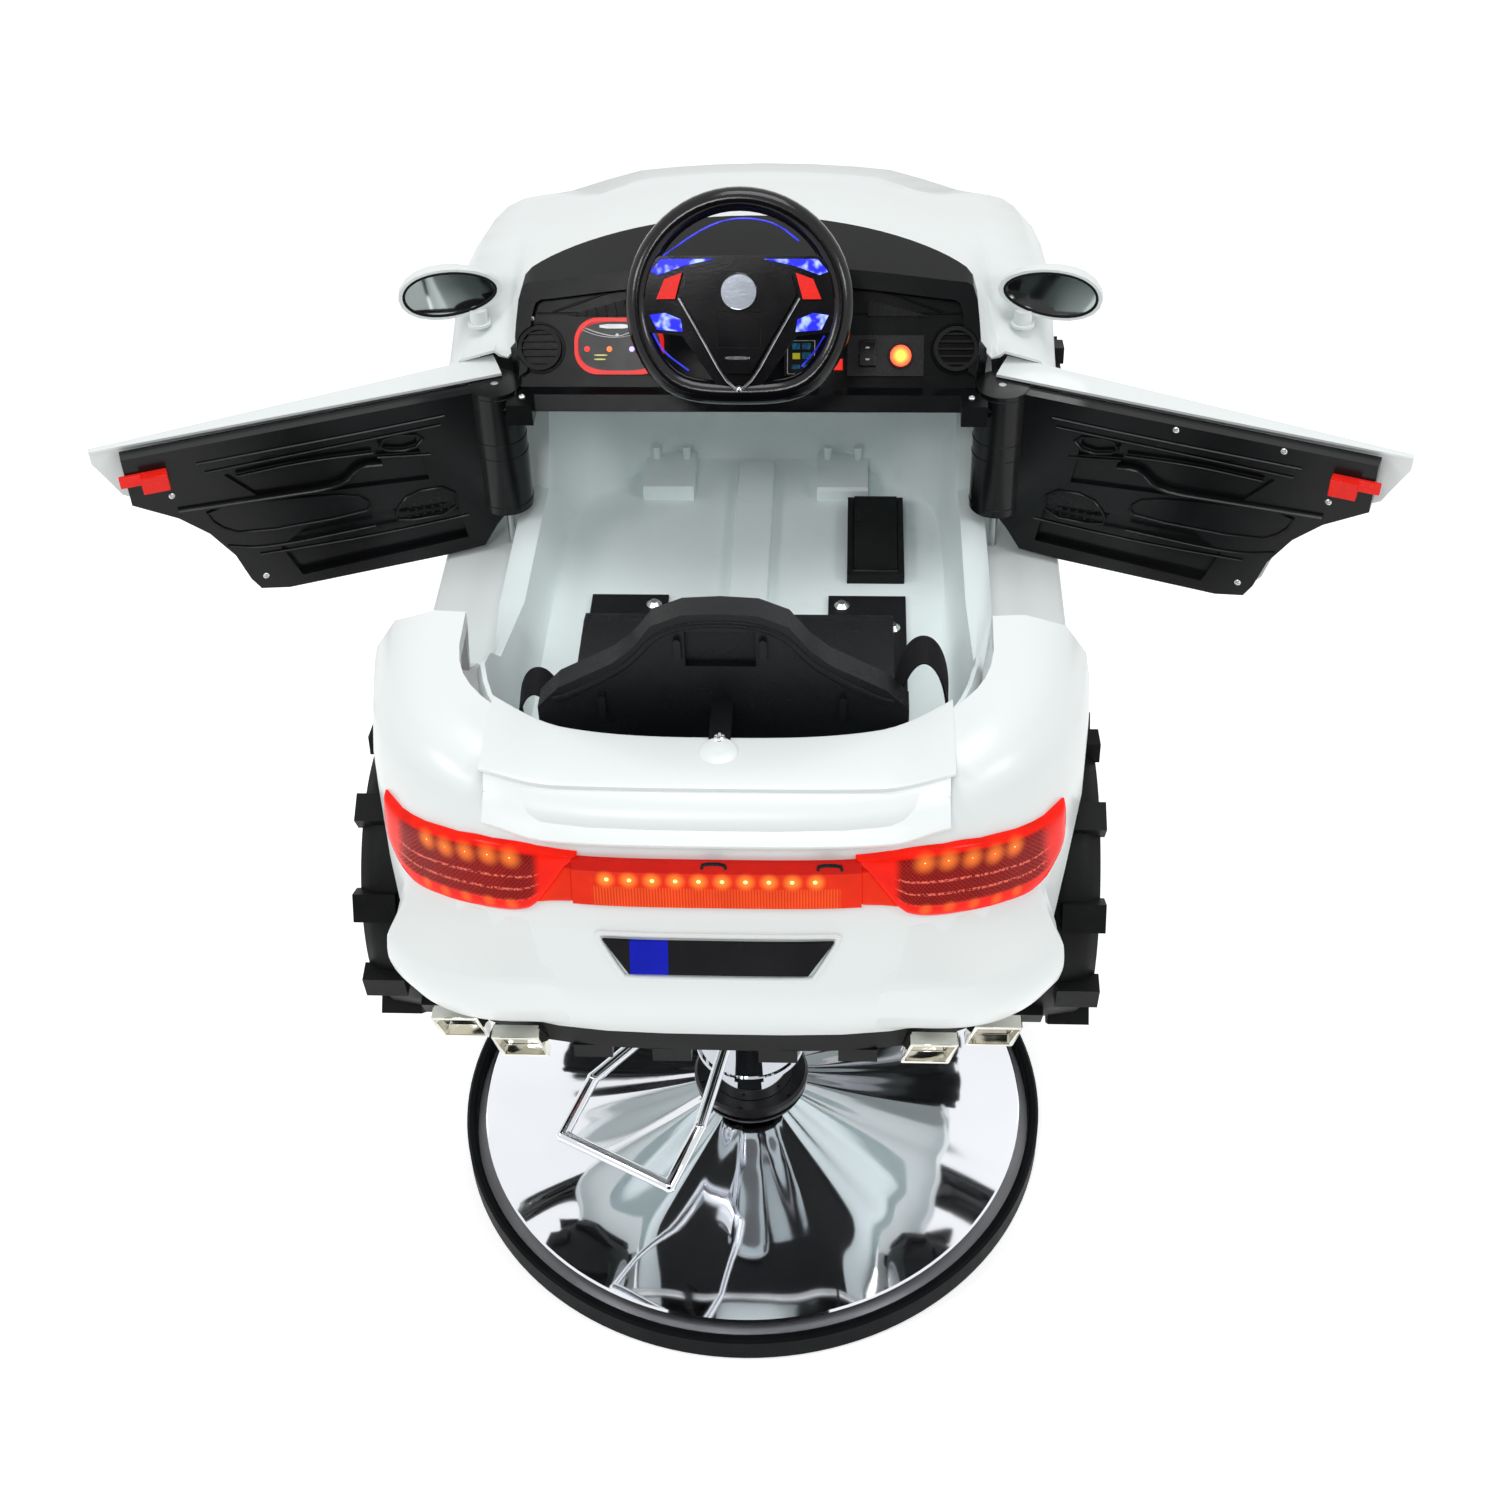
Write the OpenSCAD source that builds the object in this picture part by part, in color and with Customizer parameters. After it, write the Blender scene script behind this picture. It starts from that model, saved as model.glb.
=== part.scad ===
// Barber chair for children: a toy car body on a hydraulic pump base.
// Frame: origin at the centre of the base on the floor, +X to the car's right,
// +Y towards its nose, +Z up. Millimetres and degrees.

/* [Hydraulic base] */
// Outer diameter of the rubber foot
base_d = 650; // [600:5:720]
// Height of the rubber foot's rim
foot_h = 32; // [24:1:44]
// Thickness of the steel base plate
plate_t = 10; // [6:1:16]
// Height of the top of the black flange above the floor
flange_top_z = 76; // [66:1:90]
// Outer diameter of the chrome outer tube
tube_d = 94; // [84:1:104]
// Height of the top of the outer tube
tube_top_z = 350; // [330:5:370]
// Diameter of the lifting ram
ram_d = 65; // [50:1:74]
// Lift travel of the ram
lift_travel = 150; // [60:5:160]

/* [Pump head] */
// Outer diameter of the chrome pump shroud
shroud_d = 116; // [110:1:130]
// Height of the shroud's lower edge
shroud_z = 122; // [100:1:140]
// Height of the pump head's top face
head_top_z = 541; // [520:1:560]
// Direction of the pump lever, turned from the rear towards the left
lever_turn = 28; // [0:1:60]
// Diameter of the lever rod
lever_rod_d = 13; // [10:0.5:16]
// Distance of the foot bar from the lift axis
lever_reach = 264; // [220:5:280]
// Length of the foot bar between the centres of its corners
lever_w = 128; // [90:1:150]
// Height of the lever's pivot
lever_pivot_z = 250; // [220:1:280]
// Height of the foot bar
lever_bar_z = 210; // [180:1:230]

/* [Car body] */
// Half of the body's width over the fenders
body_half_w = 325; // [310:1:350]
// Distance from the origin to the rear bumper
body_rear = 362; // [350:1:375]
// Distance from the origin to the nose
body_nose = 855; // [835:1:890]
// Height of the body's lower edge
body_z = 522; // [515:1:530]
// Height of the rear fender crest
fender_z = 800; // [785:1:815]
// Height of the deck behind the seat
deck_z = 779; // [765:1:790]
// Height of the hood where it meets the dash
hood_z = 890; // [875:1:900]
// Wall thickness of the moulded skins
skin_t = 3; // [2:0.25:4]
// Height of the door sill
sill_z = 596; // [588:1:600]

/* [Wheels] */
// Overall diameter of a wheel over its lugs
wheel_d = 290; // [270:1:300]
// Width of the tyre
tyre_w = 84; // [70:1:90]
// Height of the wheel axles
axle_z = 520; // [512:1:528]
// Distance of the rear axle behind the origin
rear_axle_y = 120; // [112:1:128]
// Distance of the front axle ahead of the origin
front_axle_y = 560; // [552:1:568]
// Diameter of the axles
axle_d = 16; // [12:0.5:20]
// Number of lugs on a tyre
lug_count = 20; // [12:1:26]

/* [Doors] */
// Distance of a door hinge in from the body's side
hinge_in = 70; // [65:1:75]
// Distance of a door hinge ahead of the origin
hinge_y = 287; // [282:1:292]
// Length of a door from its hinge axis
door_l = 400; // [385:1:405]
// Height of a door's upper edge
door_top_z = 797; // [790:1:800]
// Angle from straight back at which a door stands open
door_open = 69; // [50:1:75]
// Diameter of the barrel round the hinge
barrel_d = 54; // [44:1:58]
// Diameter of the hinge pin
hinge_pin_d = 8; // [5:0.5:12]

/* [Cockpit] */
// Height of the tub floor
floor_z = 580; // [575:1:586]
// Distance of the floor's edge in from the body's side
floor_in = 120; // [113:1:135]
// Height of the seat's sitting surface
seat_z = 690; // [660:1:710]
// Height of the seat back's top
seat_top_z = 876; // [870:1:910]
// Distance of the seat back's edge in from the body's side
seat_in = 170; // [155:1:190]
// Width of the webbing of the belts
belt_w = 34; // [25:1:40]

/* [Dash] */
// Distance of the dash's end in from the body's side
dash_in = 80; // [75:1:87]
// Height of the dash's lower edge
dash_z = 775; // [765:1:785]
// Slope of the fascia from the horizontal
fascia_tilt = 55.2; // [45:0.5:65]
// Radius of a round air vent
vent_r = 22; // [18:0.5:25]
// Diameter of the start button
start_d = 21; // [16:0.5:26]

/* [Steering wheel] */
// Outer diameter of the steering wheel
steer_d = 212; // [190:1:230]
// Diameter of the rim's section
rim_d = 22; // [16:0.5:26]
// Height of the wheel's centre
steer_z = 930; // [925:1:945]
// Distance of the wheel's centre ahead of the origin
steer_y = 200; // [190:1:210]
// Slope of the column from the horizontal
column_tilt = 30; // [24:0.5:36]

/* [Hidden] */
$fn = 48;

// Widths that follow the body's width
hinge_x = body_half_w - hinge_in;
floor_half_w = body_half_w - floor_in;
seat_half_w = body_half_w - seat_in;
dash_half_w = body_half_w - dash_in;

// Clearances and the overrun of every cut
seat_gap = 0.3;
run_gap = 0.05;
cut_over = 1;

// Helpers
function lerp(a, b, t) = a + (b - a) * t;
function clamp01(t) = max(0, min(1, t));
function ease(t) = let (c = clamp01(t)) c * c * (3 - 2 * c);
function unit(v) = v / norm(v);
function spow(v, p) = sign(v) * pow(abs(v), p);

// Corner i, j of a grid's outward normal
function grid_normal(g, i, j, closed) =
  let (n = len(g), m = len(g[0]),
    i0 = closed ? (i + n - 1) % n : max(i - 1, 0),
    i1 = closed ? (i + 1) % n : min(i + 1, n - 1),
    j0 = max(j - 1, 0), j1 = min(j + 1, m - 1))
  unit(cross(g[i1][j] - g[i0][j], g[i][j1] - g[i][j0]));

// Closed skin between a grid of points, moved outwards by two offsets
module skin(g, outer, inner, closed = false) {
  n = len(g);
  m = len(g[0]);
  nrm = [for (i = [0:n - 1]) for (j = [0:m - 1]) grid_normal(g, i, j, closed)];
  pts = concat([for (i = [0:n - 1]) for (j = [0:m - 1]) g[i][j] + outer * nrm[i * m + j]],
    [for (i = [0:n - 1]) for (j = [0:m - 1]) g[i][j] + inner * nrm[i * m + j]]);
  k = n * m;
  last = closed ? n - 1 : n - 2;
  polyhedron(pts, concat(
    [for (i = [0:last]) for (j = [0:m - 2]) let (a = i * m + j, b = ((i + 1) % n) * m + j)
    for (f = [[a, a + 1, b + 1], [a, b + 1, b]]) f],
    [for (i = [0:last]) for (j = [0:m - 2]) let (a = k + i * m + j, b = k + ((i + 1) % n) * m + j)
    for (f = [[a, b + 1, a + 1], [a, b, b + 1]]) f],
    [for (i = [0:last]) let (a = i * m, b = ((i + 1) % n) * m)
    for (f = [[a, b, k + b], [a, k + b, k + a]]) f],
    [for (i = [0:last]) let (a = i * m + m - 1, b = ((i + 1) % n) * m + m - 1)
    for (f = [[a, k + b, b], [a, k + a, k + b]]) f],
    closed ? [] : [for (j = [0:m - 2]) for (f = [[j, k + j, k + j + 1], [j, k + j + 1, j + 1]]) f],
    closed ? [] : [for (j = [0:m - 2]) let (a = (n - 1) * m + j)
    for (f = [[a, a + 1, k + a + 1], [a, k + a + 1, k + a]]) f]));
}

// Solid ring through a closed grid of points
module ring_tube(g) {
  n = len(g);
  m = len(g[0]);
  polyhedron([for (r = g) for (p = r) p], [for (i = [0:n - 1]) for (j = [0:m - 1])
    let (a = i * m + j, b = ((i + 1) % n) * m + j,
    c = i * m + (j + 1) % m, d = ((i + 1) % n) * m + (j + 1) % m)
    for (f = [[a, c, d], [a, d, b]]) f]);
}

// Round rod from a to b
module rod(a, b, d) {
  v = b - a;
  translate(a)
    rotate([0, acos(v[2] / norm(v)), atan2(v[1], v[0])])
    cylinder(d = d, h = norm(v));
}

// Box between two corners
module box(a, b) {
  translate(a) cube(b - a);
}

module mirror_pair() {
  children();
  mirror([1, 0, 0]) children();
}

// Base

foot_r = base_d / 2;
foot_t = 3;
foot_wall = 11;
plate_r = foot_r - foot_wall - seat_gap;
plate_top = foot_t + plate_t;
cover_inset = 13;
cover_r = foot_r - foot_wall - cover_inset;
cover_t = 2;
cover_lip = 4;
flange_r = 64;
flange_h = 10;
tube_r = tube_d / 2;
tube_t = 2.6;
tube_foot_r = 82;
tube_foot_h = 8;
guide_h = 50;
ram_r = ram_d / 2;
ram_spare = 60;
ram_bottom = tube_top_z - guide_h - lift_travel - ram_spare;
spigot_r = 20;
spigot_h = 30;

module rubber_foot() color([0.06, 0.06, 0.06])
  rotate_extrude($fn = 96) polygon([[0, 0], [foot_r - foot_t, 0], [foot_r, foot_t],
    [foot_r, foot_h - foot_t], [foot_r - foot_t, foot_h], [foot_r - foot_wall + foot_t, foot_h],
    [foot_r - foot_wall, foot_h - foot_t], [foot_r - foot_wall, foot_t], [0, foot_t]]);

module base_plate() color([0.2, 0.2, 0.21])
  translate([0, 0, foot_t]) cylinder(r = plate_r, h = plate_t, $fn = 96);

// Height of the chrome cover at radius r: a shallow dome that flares up to the flange
cover_low = foot_h + cover_lip;
cover_top = flange_top_z - flange_h;
cover_dome = 8;
cover_rise_share = 0.333;
cover_pow = 2.6;
function cover_z(r) = let (s = (cover_r - r) / (cover_r - tube_r))
  cover_low + cover_dome * sin(90 * clamp01(s / cover_rise_share))
    + (cover_top - cover_low - cover_dome) * pow(s, cover_pow);
module base_cover() color([0.8, 0.82, 0.84]) {
  steps = 20;
  r_in = tube_r + cover_t;
  upper = [for (i = [0:steps]) let (r = lerp(cover_r, r_in, i / steps)) [r, cover_z(r)]];
  lower = [for (i = [steps:-1:0]) let (r = lerp(cover_r - cover_t, r_in, i / steps))
    [r, cover_z(r) - cover_t]];
  rotate_extrude($fn = 96) polygon(concat([[cover_r - cover_t, plate_top], [cover_r, plate_top]],
    [[cover_r, foot_h], [cover_r + cover_t, foot_h + cover_t]], upper, lower));
}

flange_screw_share = 0.55;
flange_screw_turn = 20;
flange_edge = 3;
flange_screw_r = lerp(tube_r, flange_r, flange_screw_share);
screw_head_d = 5;
screw_head_h = 1.6;
flange_screw_count = 6;
module base_flange() color([0.08, 0.08, 0.08]) rotate_extrude($fn = 96)
  polygon([[tube_r + seat_gap, cover_top], [flange_r, cover_top], [flange_r, flange_top_z - flange_edge],
    [flange_r - flange_edge, flange_top_z], [tube_r + seat_gap, flange_top_z]]);

module flange_screws() color([0.15, 0.15, 0.15])
  for (i = [0:flange_screw_count - 1]) rotate(360 / flange_screw_count * i + flange_screw_turn)
    translate([flange_screw_r, 0, flange_top_z]) cylinder(d = screw_head_d, h = screw_head_h);

module outer_tube() color([0.75, 0.77, 0.79]) rotate_extrude($fn = 96)
  polygon([[tube_r - tube_t, plate_top], [tube_foot_r, plate_top], [tube_foot_r, plate_top + tube_foot_h],
    [tube_r, plate_top + tube_foot_h], [tube_r, tube_top_z], [ram_r + run_gap, tube_top_z],
    [ram_r + run_gap, tube_top_z - guide_h], [tube_r - tube_t, tube_top_z - guide_h - tube_t]]);

head_r = shroud_d / 2;
shroud_t = 2;
head_h = 46;
head_foot_z = head_top_z - head_h;
shoulder_h = 10;
head_play = 3;
ram_shoulder = head_foot_z + shoulder_h;

module ram() color([0.7, 0.71, 0.72]) {
  translate([0, 0, ram_bottom]) cylinder(r = ram_r, h = ram_shoulder - ram_bottom, $fn = 96);
  translate([0, 0, ram_shoulder]) cylinder(r = spigot_r, h = spigot_h);
}

// Pump head, shroud and lever

lug_w = 30;
lug_d = 34;
lug_reach = 18;
lever_r = lever_rod_d / 2;
lever_pivot_r = head_r + lug_reach;
lever_root_w = lug_w + 2 * lever_rod_d;
lever_kink_share = 0.68;
bend_share = 1.05;

module pump_head() color([0.7, 0.71, 0.72]) rotate_extrude($fn = 96)
  polygon([[ram_r + head_play, head_foot_z], [head_r - shroud_t - seat_gap, head_foot_z],
    [head_r - shroud_t - seat_gap, head_top_z], [0, head_top_z],
    [0, ram_shoulder + spigot_h + seat_gap], [spigot_r + run_gap, ram_shoulder + spigot_h + seat_gap],
    [spigot_r + run_gap, ram_shoulder + seat_gap], [ram_r + head_play, ram_shoulder + seat_gap]]);

module pump_shroud() color([0.8, 0.82, 0.84]) {
  difference() {
    union() {
    translate([0, 0, shroud_z]) cylinder(r = head_r, h = head_top_z - shroud_z, $fn = 96);
    translate([0, 0, shroud_z]) cylinder(r = head_r + shroud_t, h = lever_r, $fn = 96);
    rotate(-lever_turn) translate([-lug_w / 2, -lever_pivot_r, lever_pivot_z - lug_d / 2])
      cube([lug_w, lever_pivot_r, lug_d]);
    rotate(-lever_turn) translate([-lug_w / 2, -lever_pivot_r, lever_pivot_z])
      rotate([0, 90, 0]) cylinder(d = lug_d, h = lug_w);
    }
    translate([0, 0, shroud_z - cut_over])
    cylinder(r = head_r - shroud_t, h = head_top_z - shroud_z + 2 * cut_over, $fn = 96);
    rotate(-lever_turn) translate([-lug_w / 2 - cut_over, -lever_pivot_r, lever_pivot_z])
    rotate([0, 90, 0]) cylinder(r = lever_r + run_gap, h = lug_w + 2 * cut_over);
  }
}

module pump_lever() color([0.8, 0.82, 0.84]) rotate(-lever_turn) {
  root = [lever_root_w / 2, -lever_pivot_r, lever_pivot_z];
  kink = [lever_w / 2, lerp(-lever_pivot_r, -lever_reach, lever_kink_share),
    lerp(lever_pivot_z, lever_bar_z, lever_kink_share / 2)];
  corner = [lever_w / 2, -lever_reach, lever_bar_z];
  rod([-root[0], root[1], root[2]], root, lever_rod_d);
  rod([-corner[0], corner[1], corner[2]], corner, lever_rod_d);
  mirror_pair() {
    rod(root, kink, lever_rod_d);
    rod(kink, corner, lever_rod_d);
    for (p = [root, kink, corner]) translate(p) sphere(d = lever_rod_d * bend_share);
  }
}

// Subframe: two channel rails, a pump plate, rear axle brackets and the front beam

rail_x = 118;
rail_w = 72;
rail_t = 3;
rail_top = floor_z - skin_t - seat_gap;
rail_over = 50;
rail_rear = rear_axle_y + rail_over;
pump_plate_t = 6;
pump_plate_l = 250;
rail_foot = head_top_z + pump_plate_t;
bracket_t = 6;
bracket_w = 50;
beam_w = 40;
beam_in = 110;
kingpin_in = 90;
beam_t = 26;
beam_half = body_half_w - beam_in;
kingpin_x = body_half_w - kingpin_in;
kingpin_boss_r = 14;
axle_r = axle_d / 2;

module subframe() color([0.12, 0.12, 0.13]) difference() {
  union() {
    mirror_pair() difference() {
    box([rail_x - rail_w / 2, -rail_rear, rail_foot],
      [rail_x + rail_w / 2, front_axle_y + beam_w / 2, rail_top]);
    box([rail_x - rail_w / 2 + rail_t, -rail_rear - cut_over, rail_foot - cut_over],
      [rail_x + rail_w / 2 - rail_t, front_axle_y + beam_w / 2 + cut_over, rail_top - rail_t]);
    }
    box([-rail_x - rail_w / 2, -pump_plate_l / 2, head_top_z],
    [rail_x + rail_w / 2, pump_plate_l / 2, rail_foot]);
    mirror_pair() box([rail_x, -rear_axle_y - bracket_w / 2, axle_z - axle_d],
    [rail_x + bracket_t, -rear_axle_y + bracket_w / 2, rail_top - rail_t]);
    box([-beam_half, front_axle_y - beam_w / 2, axle_z - beam_t / 2],
    [beam_half, front_axle_y + beam_w / 2, axle_z + beam_t / 2]);
    mirror_pair() {
    box([rail_x - bracket_w / 2, front_axle_y - beam_w / 2, axle_z],
      [rail_x + bracket_w / 2, front_axle_y + beam_w / 2, rail_top - rail_t]);
    translate([kingpin_x, front_axle_y, axle_z - beam_t / 2])
      cylinder(r = kingpin_boss_r, h = beam_t);
    box([beam_half - beam_w, front_axle_y - kingpin_boss_r, axle_z - beam_t / 2],
      [kingpin_x, front_axle_y + kingpin_boss_r, axle_z + beam_t / 2]);
    }
  }
  mirror_pair() translate([kingpin_x, front_axle_y, axle_z - beam_t / 2 - cut_over])
    cylinder(r = axle_r + run_gap, h = beam_t + 2 * cut_over);
  translate([-beam_half, -rear_axle_y, axle_z]) rotate([0, 90, 0])
    cylinder(r = axle_r, h = 2 * beam_half);
}

rear_wheel_in = 79;
front_wheel_in = 63;
rear_wheel_x = body_half_w - rear_wheel_in;
front_wheel_x = body_half_w - front_wheel_in;
module rear_axle() color([0.6, 0.61, 0.62]) {
  translate([-rear_wheel_x - tyre_w, -rear_axle_y, axle_z]) rotate([0, 90, 0])
    cylinder(r = axle_r, h = 2 * (rear_wheel_x + tyre_w));
}

fork_gap = 1;
fork_t = 5;
arm_l = 50;
arm_w = 16;
module knuckle() {
  fork_top = axle_z + beam_t / 2 + fork_gap;
  fork_low = axle_z - beam_t / 2 - fork_gap - fork_t;
  web_x = kingpin_x + kingpin_boss_r + fork_gap;
  translate([kingpin_x, front_axle_y, fork_low]) cylinder(r = axle_r, h = fork_top + fork_t - fork_low);
  for (z = [fork_low, fork_top]) {
    translate([kingpin_x, front_axle_y, z]) cylinder(r = kingpin_boss_r, h = fork_t);
    box([kingpin_x, front_axle_y - kingpin_boss_r, z],
    [web_x + fork_t, front_axle_y + kingpin_boss_r, z + fork_t]);
  }
  box([web_x, front_axle_y - kingpin_boss_r, fork_low], [web_x + fork_t, front_axle_y + kingpin_boss_r,
    fork_top + fork_t]);
  box([kingpin_x - arm_w / 2, front_axle_y - arm_l, fork_top],
    [kingpin_x + arm_w / 2, front_axle_y, fork_top + fork_t]);
  translate([web_x, front_axle_y, axle_z]) rotate([0, 90, 0])
    cylinder(r = axle_r, h = front_wheel_x + tyre_w - web_x);
}
module knuckle_right() color([0.3, 0.3, 0.32]) knuckle();
module knuckle_left() color([0.3, 0.3, 0.32]) mirror([1, 0, 0]) knuckle();

// Wheels: a tyre with shoulder lugs on a five-spoke rim

wheel_r = wheel_d / 2;
lug_h = 7;
lug_w_share = 0.3;
lug_reach_share = 0.45;
tyre_side = 57;
rim_r = wheel_r - tyre_side;
rim_t = 4;
rim_lip = 5;
hub_r = 20;
spoke_w = 22;
spoke_t = 10;
spoke_count = 5;
tread_crown = 4;

module tyre(x) translate([x, 0, axle_z]) rotate([0, 90, 0]) {
  r = wheel_r - lug_h;
  rotate_extrude($fn = 96) polygon([[rim_r, 0], [rim_r + rim_lip, 0], [r - 3 * tread_crown, lug_h / 2],
    [r - tread_crown, 2 * lug_h], [r, tyre_w / 2], [r - tread_crown, tyre_w - 2 * lug_h],
    [r - 3 * tread_crown, tyre_w - lug_h / 2], [rim_r + rim_lip, tyre_w], [rim_r, tyre_w]]);
  for (i = [0:lug_count - 1]) rotate(360 / lug_count * (i + 0.5)) {
    step = 2 * PI * r / lug_count;
    side = i % 2 == 0 ? 0 : tyre_w * (1 - lug_reach_share);
    translate([r - 3 * tread_crown, -step * lug_w_share, side])
    cube([lug_h + 3 * tread_crown, 2 * step * lug_w_share, tyre_w * lug_reach_share]);
  }
}

module rim(x) translate([x, 0, axle_z]) rotate([0, 90, 0]) difference() {
  union() {
    rotate_extrude($fn = 96) polygon([[rim_r - rim_t - rim_lip, 0], [rim_r - seat_gap, 0],
    [rim_r - seat_gap, tyre_w], [rim_r - rim_t - rim_lip, tyre_w],
    [rim_r - rim_t, tyre_w - 2 * rim_lip], [rim_r - rim_t, 2 * rim_lip]]);
    cylinder(r = hub_r, h = tyre_w - rim_lip);
    translate([0, 0, tyre_w - rim_lip - 2 * spoke_t]) for (i = [0:spoke_count - 1])
    rotate(360 / spoke_count * i) linear_extrude(spoke_t)
      polygon([[0, -hub_r / 2], [0, hub_r / 2], [rim_r - rim_t / 2, spoke_w / 2],
      [rim_r - rim_t / 2, -spoke_w / 2]]);
  }
  translate([0, 0, -cut_over]) cylinder(r = axle_r + run_gap, h = tyre_w + 2 * cut_over);
}

tyre_tone = [0.07, 0.07, 0.07];
rim_tone = [0.72, 0.73, 0.75];
module wheel_at(side, y) translate([0, y, 0]) mirror([side < 0 ? 1 : 0, 0, 0]) children();
module tyre_front_left() color(tyre_tone) wheel_at(-1, front_axle_y) tyre(front_wheel_x);
module tyre_front_right() color(tyre_tone) wheel_at(1, front_axle_y) tyre(front_wheel_x);
module tyre_rear_left() color(tyre_tone) wheel_at(-1, -rear_axle_y) tyre(rear_wheel_x);
module tyre_rear_right() color(tyre_tone) wheel_at(1, -rear_axle_y) tyre(rear_wheel_x);
module rim_front_left() color(rim_tone) wheel_at(-1, front_axle_y) rim(front_wheel_x);
module rim_front_right() color(rim_tone) wheel_at(1, front_axle_y) rim(front_wheel_x);
module rim_rear_left() color(rim_tone) wheel_at(-1, -rear_axle_y) rim(rear_wheel_x);
module rim_rear_right() color(rim_tone) wheel_at(1, -rear_axle_y) rim(rear_wheel_x);

// Body form: a plan outline, and a section at every point of it

body_mid = (body_nose - body_rear) / 2;
body_half_l = (body_nose + body_rear) / 2;
plan_side_pow = 3.4;
plan_rear_pow = 6;
plan_nose_pow = 5.6;

// Outer plan point at a place along the side, or at a place across an end
function side_point(y) = let (v = (y - body_mid) / body_half_l)
  [body_half_w * pow(1 - pow(abs(v), v < 0 ? plan_rear_pow : plan_nose_pow), 1 / plan_side_pow), y];
function end_point(share, s) = [body_half_w * share, body_mid + s * body_half_l
  * pow(1 - pow(abs(share), plan_side_pow), 1 / (s < 0 ? plan_rear_pow : plan_nose_pow))];
function plan_normal(p) = let (u = p[0] / body_half_w, v = (p[1] - body_mid) / body_half_l,
    q = v < 0 ? plan_rear_pow : plan_nose_pow)
  unit([plan_side_pow / body_half_w * pow(abs(u), plan_side_pow - 1) * sign(u),
    q / body_half_l * pow(abs(v), q - 1) * sign(v)]);

// Wheel arches and the lower edge
arch_gap = 8;
arch_rear_share = 2.4;
arch_rear_r = wheel_d / 2 + arch_rear_share * arch_gap;
arch_front_r = wheel_d / 2 + 2 * arch_gap;
function arch_z(y, y0, r) = abs(y - y0) < r ? axle_z + sqrt(r * r - (y - y0) * (y - y0)) : body_z;
function low_z(y) = max(body_z, arch_z(y, -rear_axle_y, arch_rear_r), arch_z(y, front_axle_y, arch_front_r));

crease_h = 84;
crease_z = body_z + crease_h;
end_blend_share = 1.05;
// Sections: [inset of the lower edge, rise of the crease, lean above it, drop of the shoulder, corner depth]
side_form = [28, -6, 5, 90, 62];
rear_form = [30, 4, 32, 44, 44];
nose_form = [42, 12, 34, 110, 80];
fender_form = [28, -6, 5, 58, 74];
function section_of(f, top) = [f[0], crease_z + f[1], f[2], top - f[3], f[4]];
sect_side = section_of(side_form, fender_z);
sect_rear = section_of(rear_form, deck_z);
sect_nose = section_of(nose_form, fender_z);
sect_fender = section_of(fender_form, fender_z);
crease_pow = 1.6;
lean_pow = 0.5;
corner_pow = 0.8;
fender_from = 330;
fender_over = 120;
function section(p) = let (ny = plan_normal(p)[1], f = ease((p[1] - fender_from) / fender_over),
    side = lerp(sect_side, sect_fender, f))
  ny < 0 ? lerp(side, sect_rear, ease(-ny * end_blend_share))
    : lerp(side, sect_nose, ease(ny * end_blend_share));

function wall_inset(c, z) = z < c[1] ? c[0] * pow((c[1] - z) / (c[1] - body_z), crease_pow)
  : c[2] * pow(clamp01((z - c[1]) / (c[3] - c[1])), lean_pow);

// Shares of a wall's height at which a section has its rows
wall_shares = [0, 0.2, 0.41, 0.7, 1];
function wall_row(c, k) = lerp(body_z, c[3], wall_shares[k]);

// Point on the body's outer face below its shoulder, on the flats between the rows
function wall_point(p, z) = let (c = section(p), n = plan_normal(p),
    low = [for (i = [0:len(wall_shares) - 2]) if (z >= wall_row(c, i)) i],
    k = len(low) == 0 ? 0 : low[len(low) - 1], z0 = wall_row(c, k), z1 = wall_row(c, k + 1),
    d = lerp(wall_inset(c, z0), wall_inset(c, z1), (z - z0) / (z1 - z0)))
  [p[0] - n[0] * d, p[1] - n[1] * d, z];

// Height of the hood, and of the rear fenders and deck
front_set = 32;
front_from = hinge_y + front_set;
hood_flat_y = 450;
hood_fall_share = 0.10;
// Radii of the hood's bend along and across, doubled
hood_bow = 1333;
hood_crown = 2174;
function hood(x, y) = let (q = max(y - hood_flat_y, 0))
  hood_z - hood_fall_share * (y - hood_flat_y) - q * q / hood_bow
    - x * x / hood_crown - pillar_drop * ease((abs(x) - pillar_x) / pillar_w)
    * (1 - ease((y - front_from) / pillar_l));
// The fenders fall towards the door edge
pillar_drop = 62;
pillar_in = 99;
pillar_x = body_half_w - pillar_in;
pillar_w = 26;
pillar_l = 150;
deck_edge_in = 195;
deck_edge_x = body_half_w - deck_edge_in;
deck_rise_w = 95;
function deck(x) = lerp(deck_z, fender_z, ease((abs(x) - deck_edge_x) / deck_rise_w));

// Rows of one section: wall shares, then the rounded corner, then the top
corner_steps = 3;
function lower_rows(p, z0, c, z1, top, depth) = let (n = plan_normal(p))
  concat([for (s = wall_shares) let (z = lerp(z0, z1, s), d = wall_inset(c, z))
    [p[0] - n[0] * d, p[1] - n[1] * d, z]],
    [for (k = [1:corner_steps]) let (a = 90 * k / corner_steps,
    d = wall_inset(c, z1) + depth * (1 - spow(cos(a), corner_pow)))
    [p[0] - n[0] * d, p[1] - n[1] * d, z1 + (top - z1) * spow(sin(a), corner_pow)]]);

// Rear shell: bumper, fenders and deck, and the sills as far as the door hinges
rim_in = 98;
rim_half_x = body_half_w - rim_in;
rim_jamb_y = -98;
rim_depth = 140;
rim_pow = 0.55;
lip_h = 14;
jamb_gap = 12;
sill_inset = 91;
sill_in = body_half_w - sill_inset;
sill_corner = 6;
shut_gap = 3;
sill_over = 15;
sill_front = hinge_y + sill_over;
rear_top_rows = 3;

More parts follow.
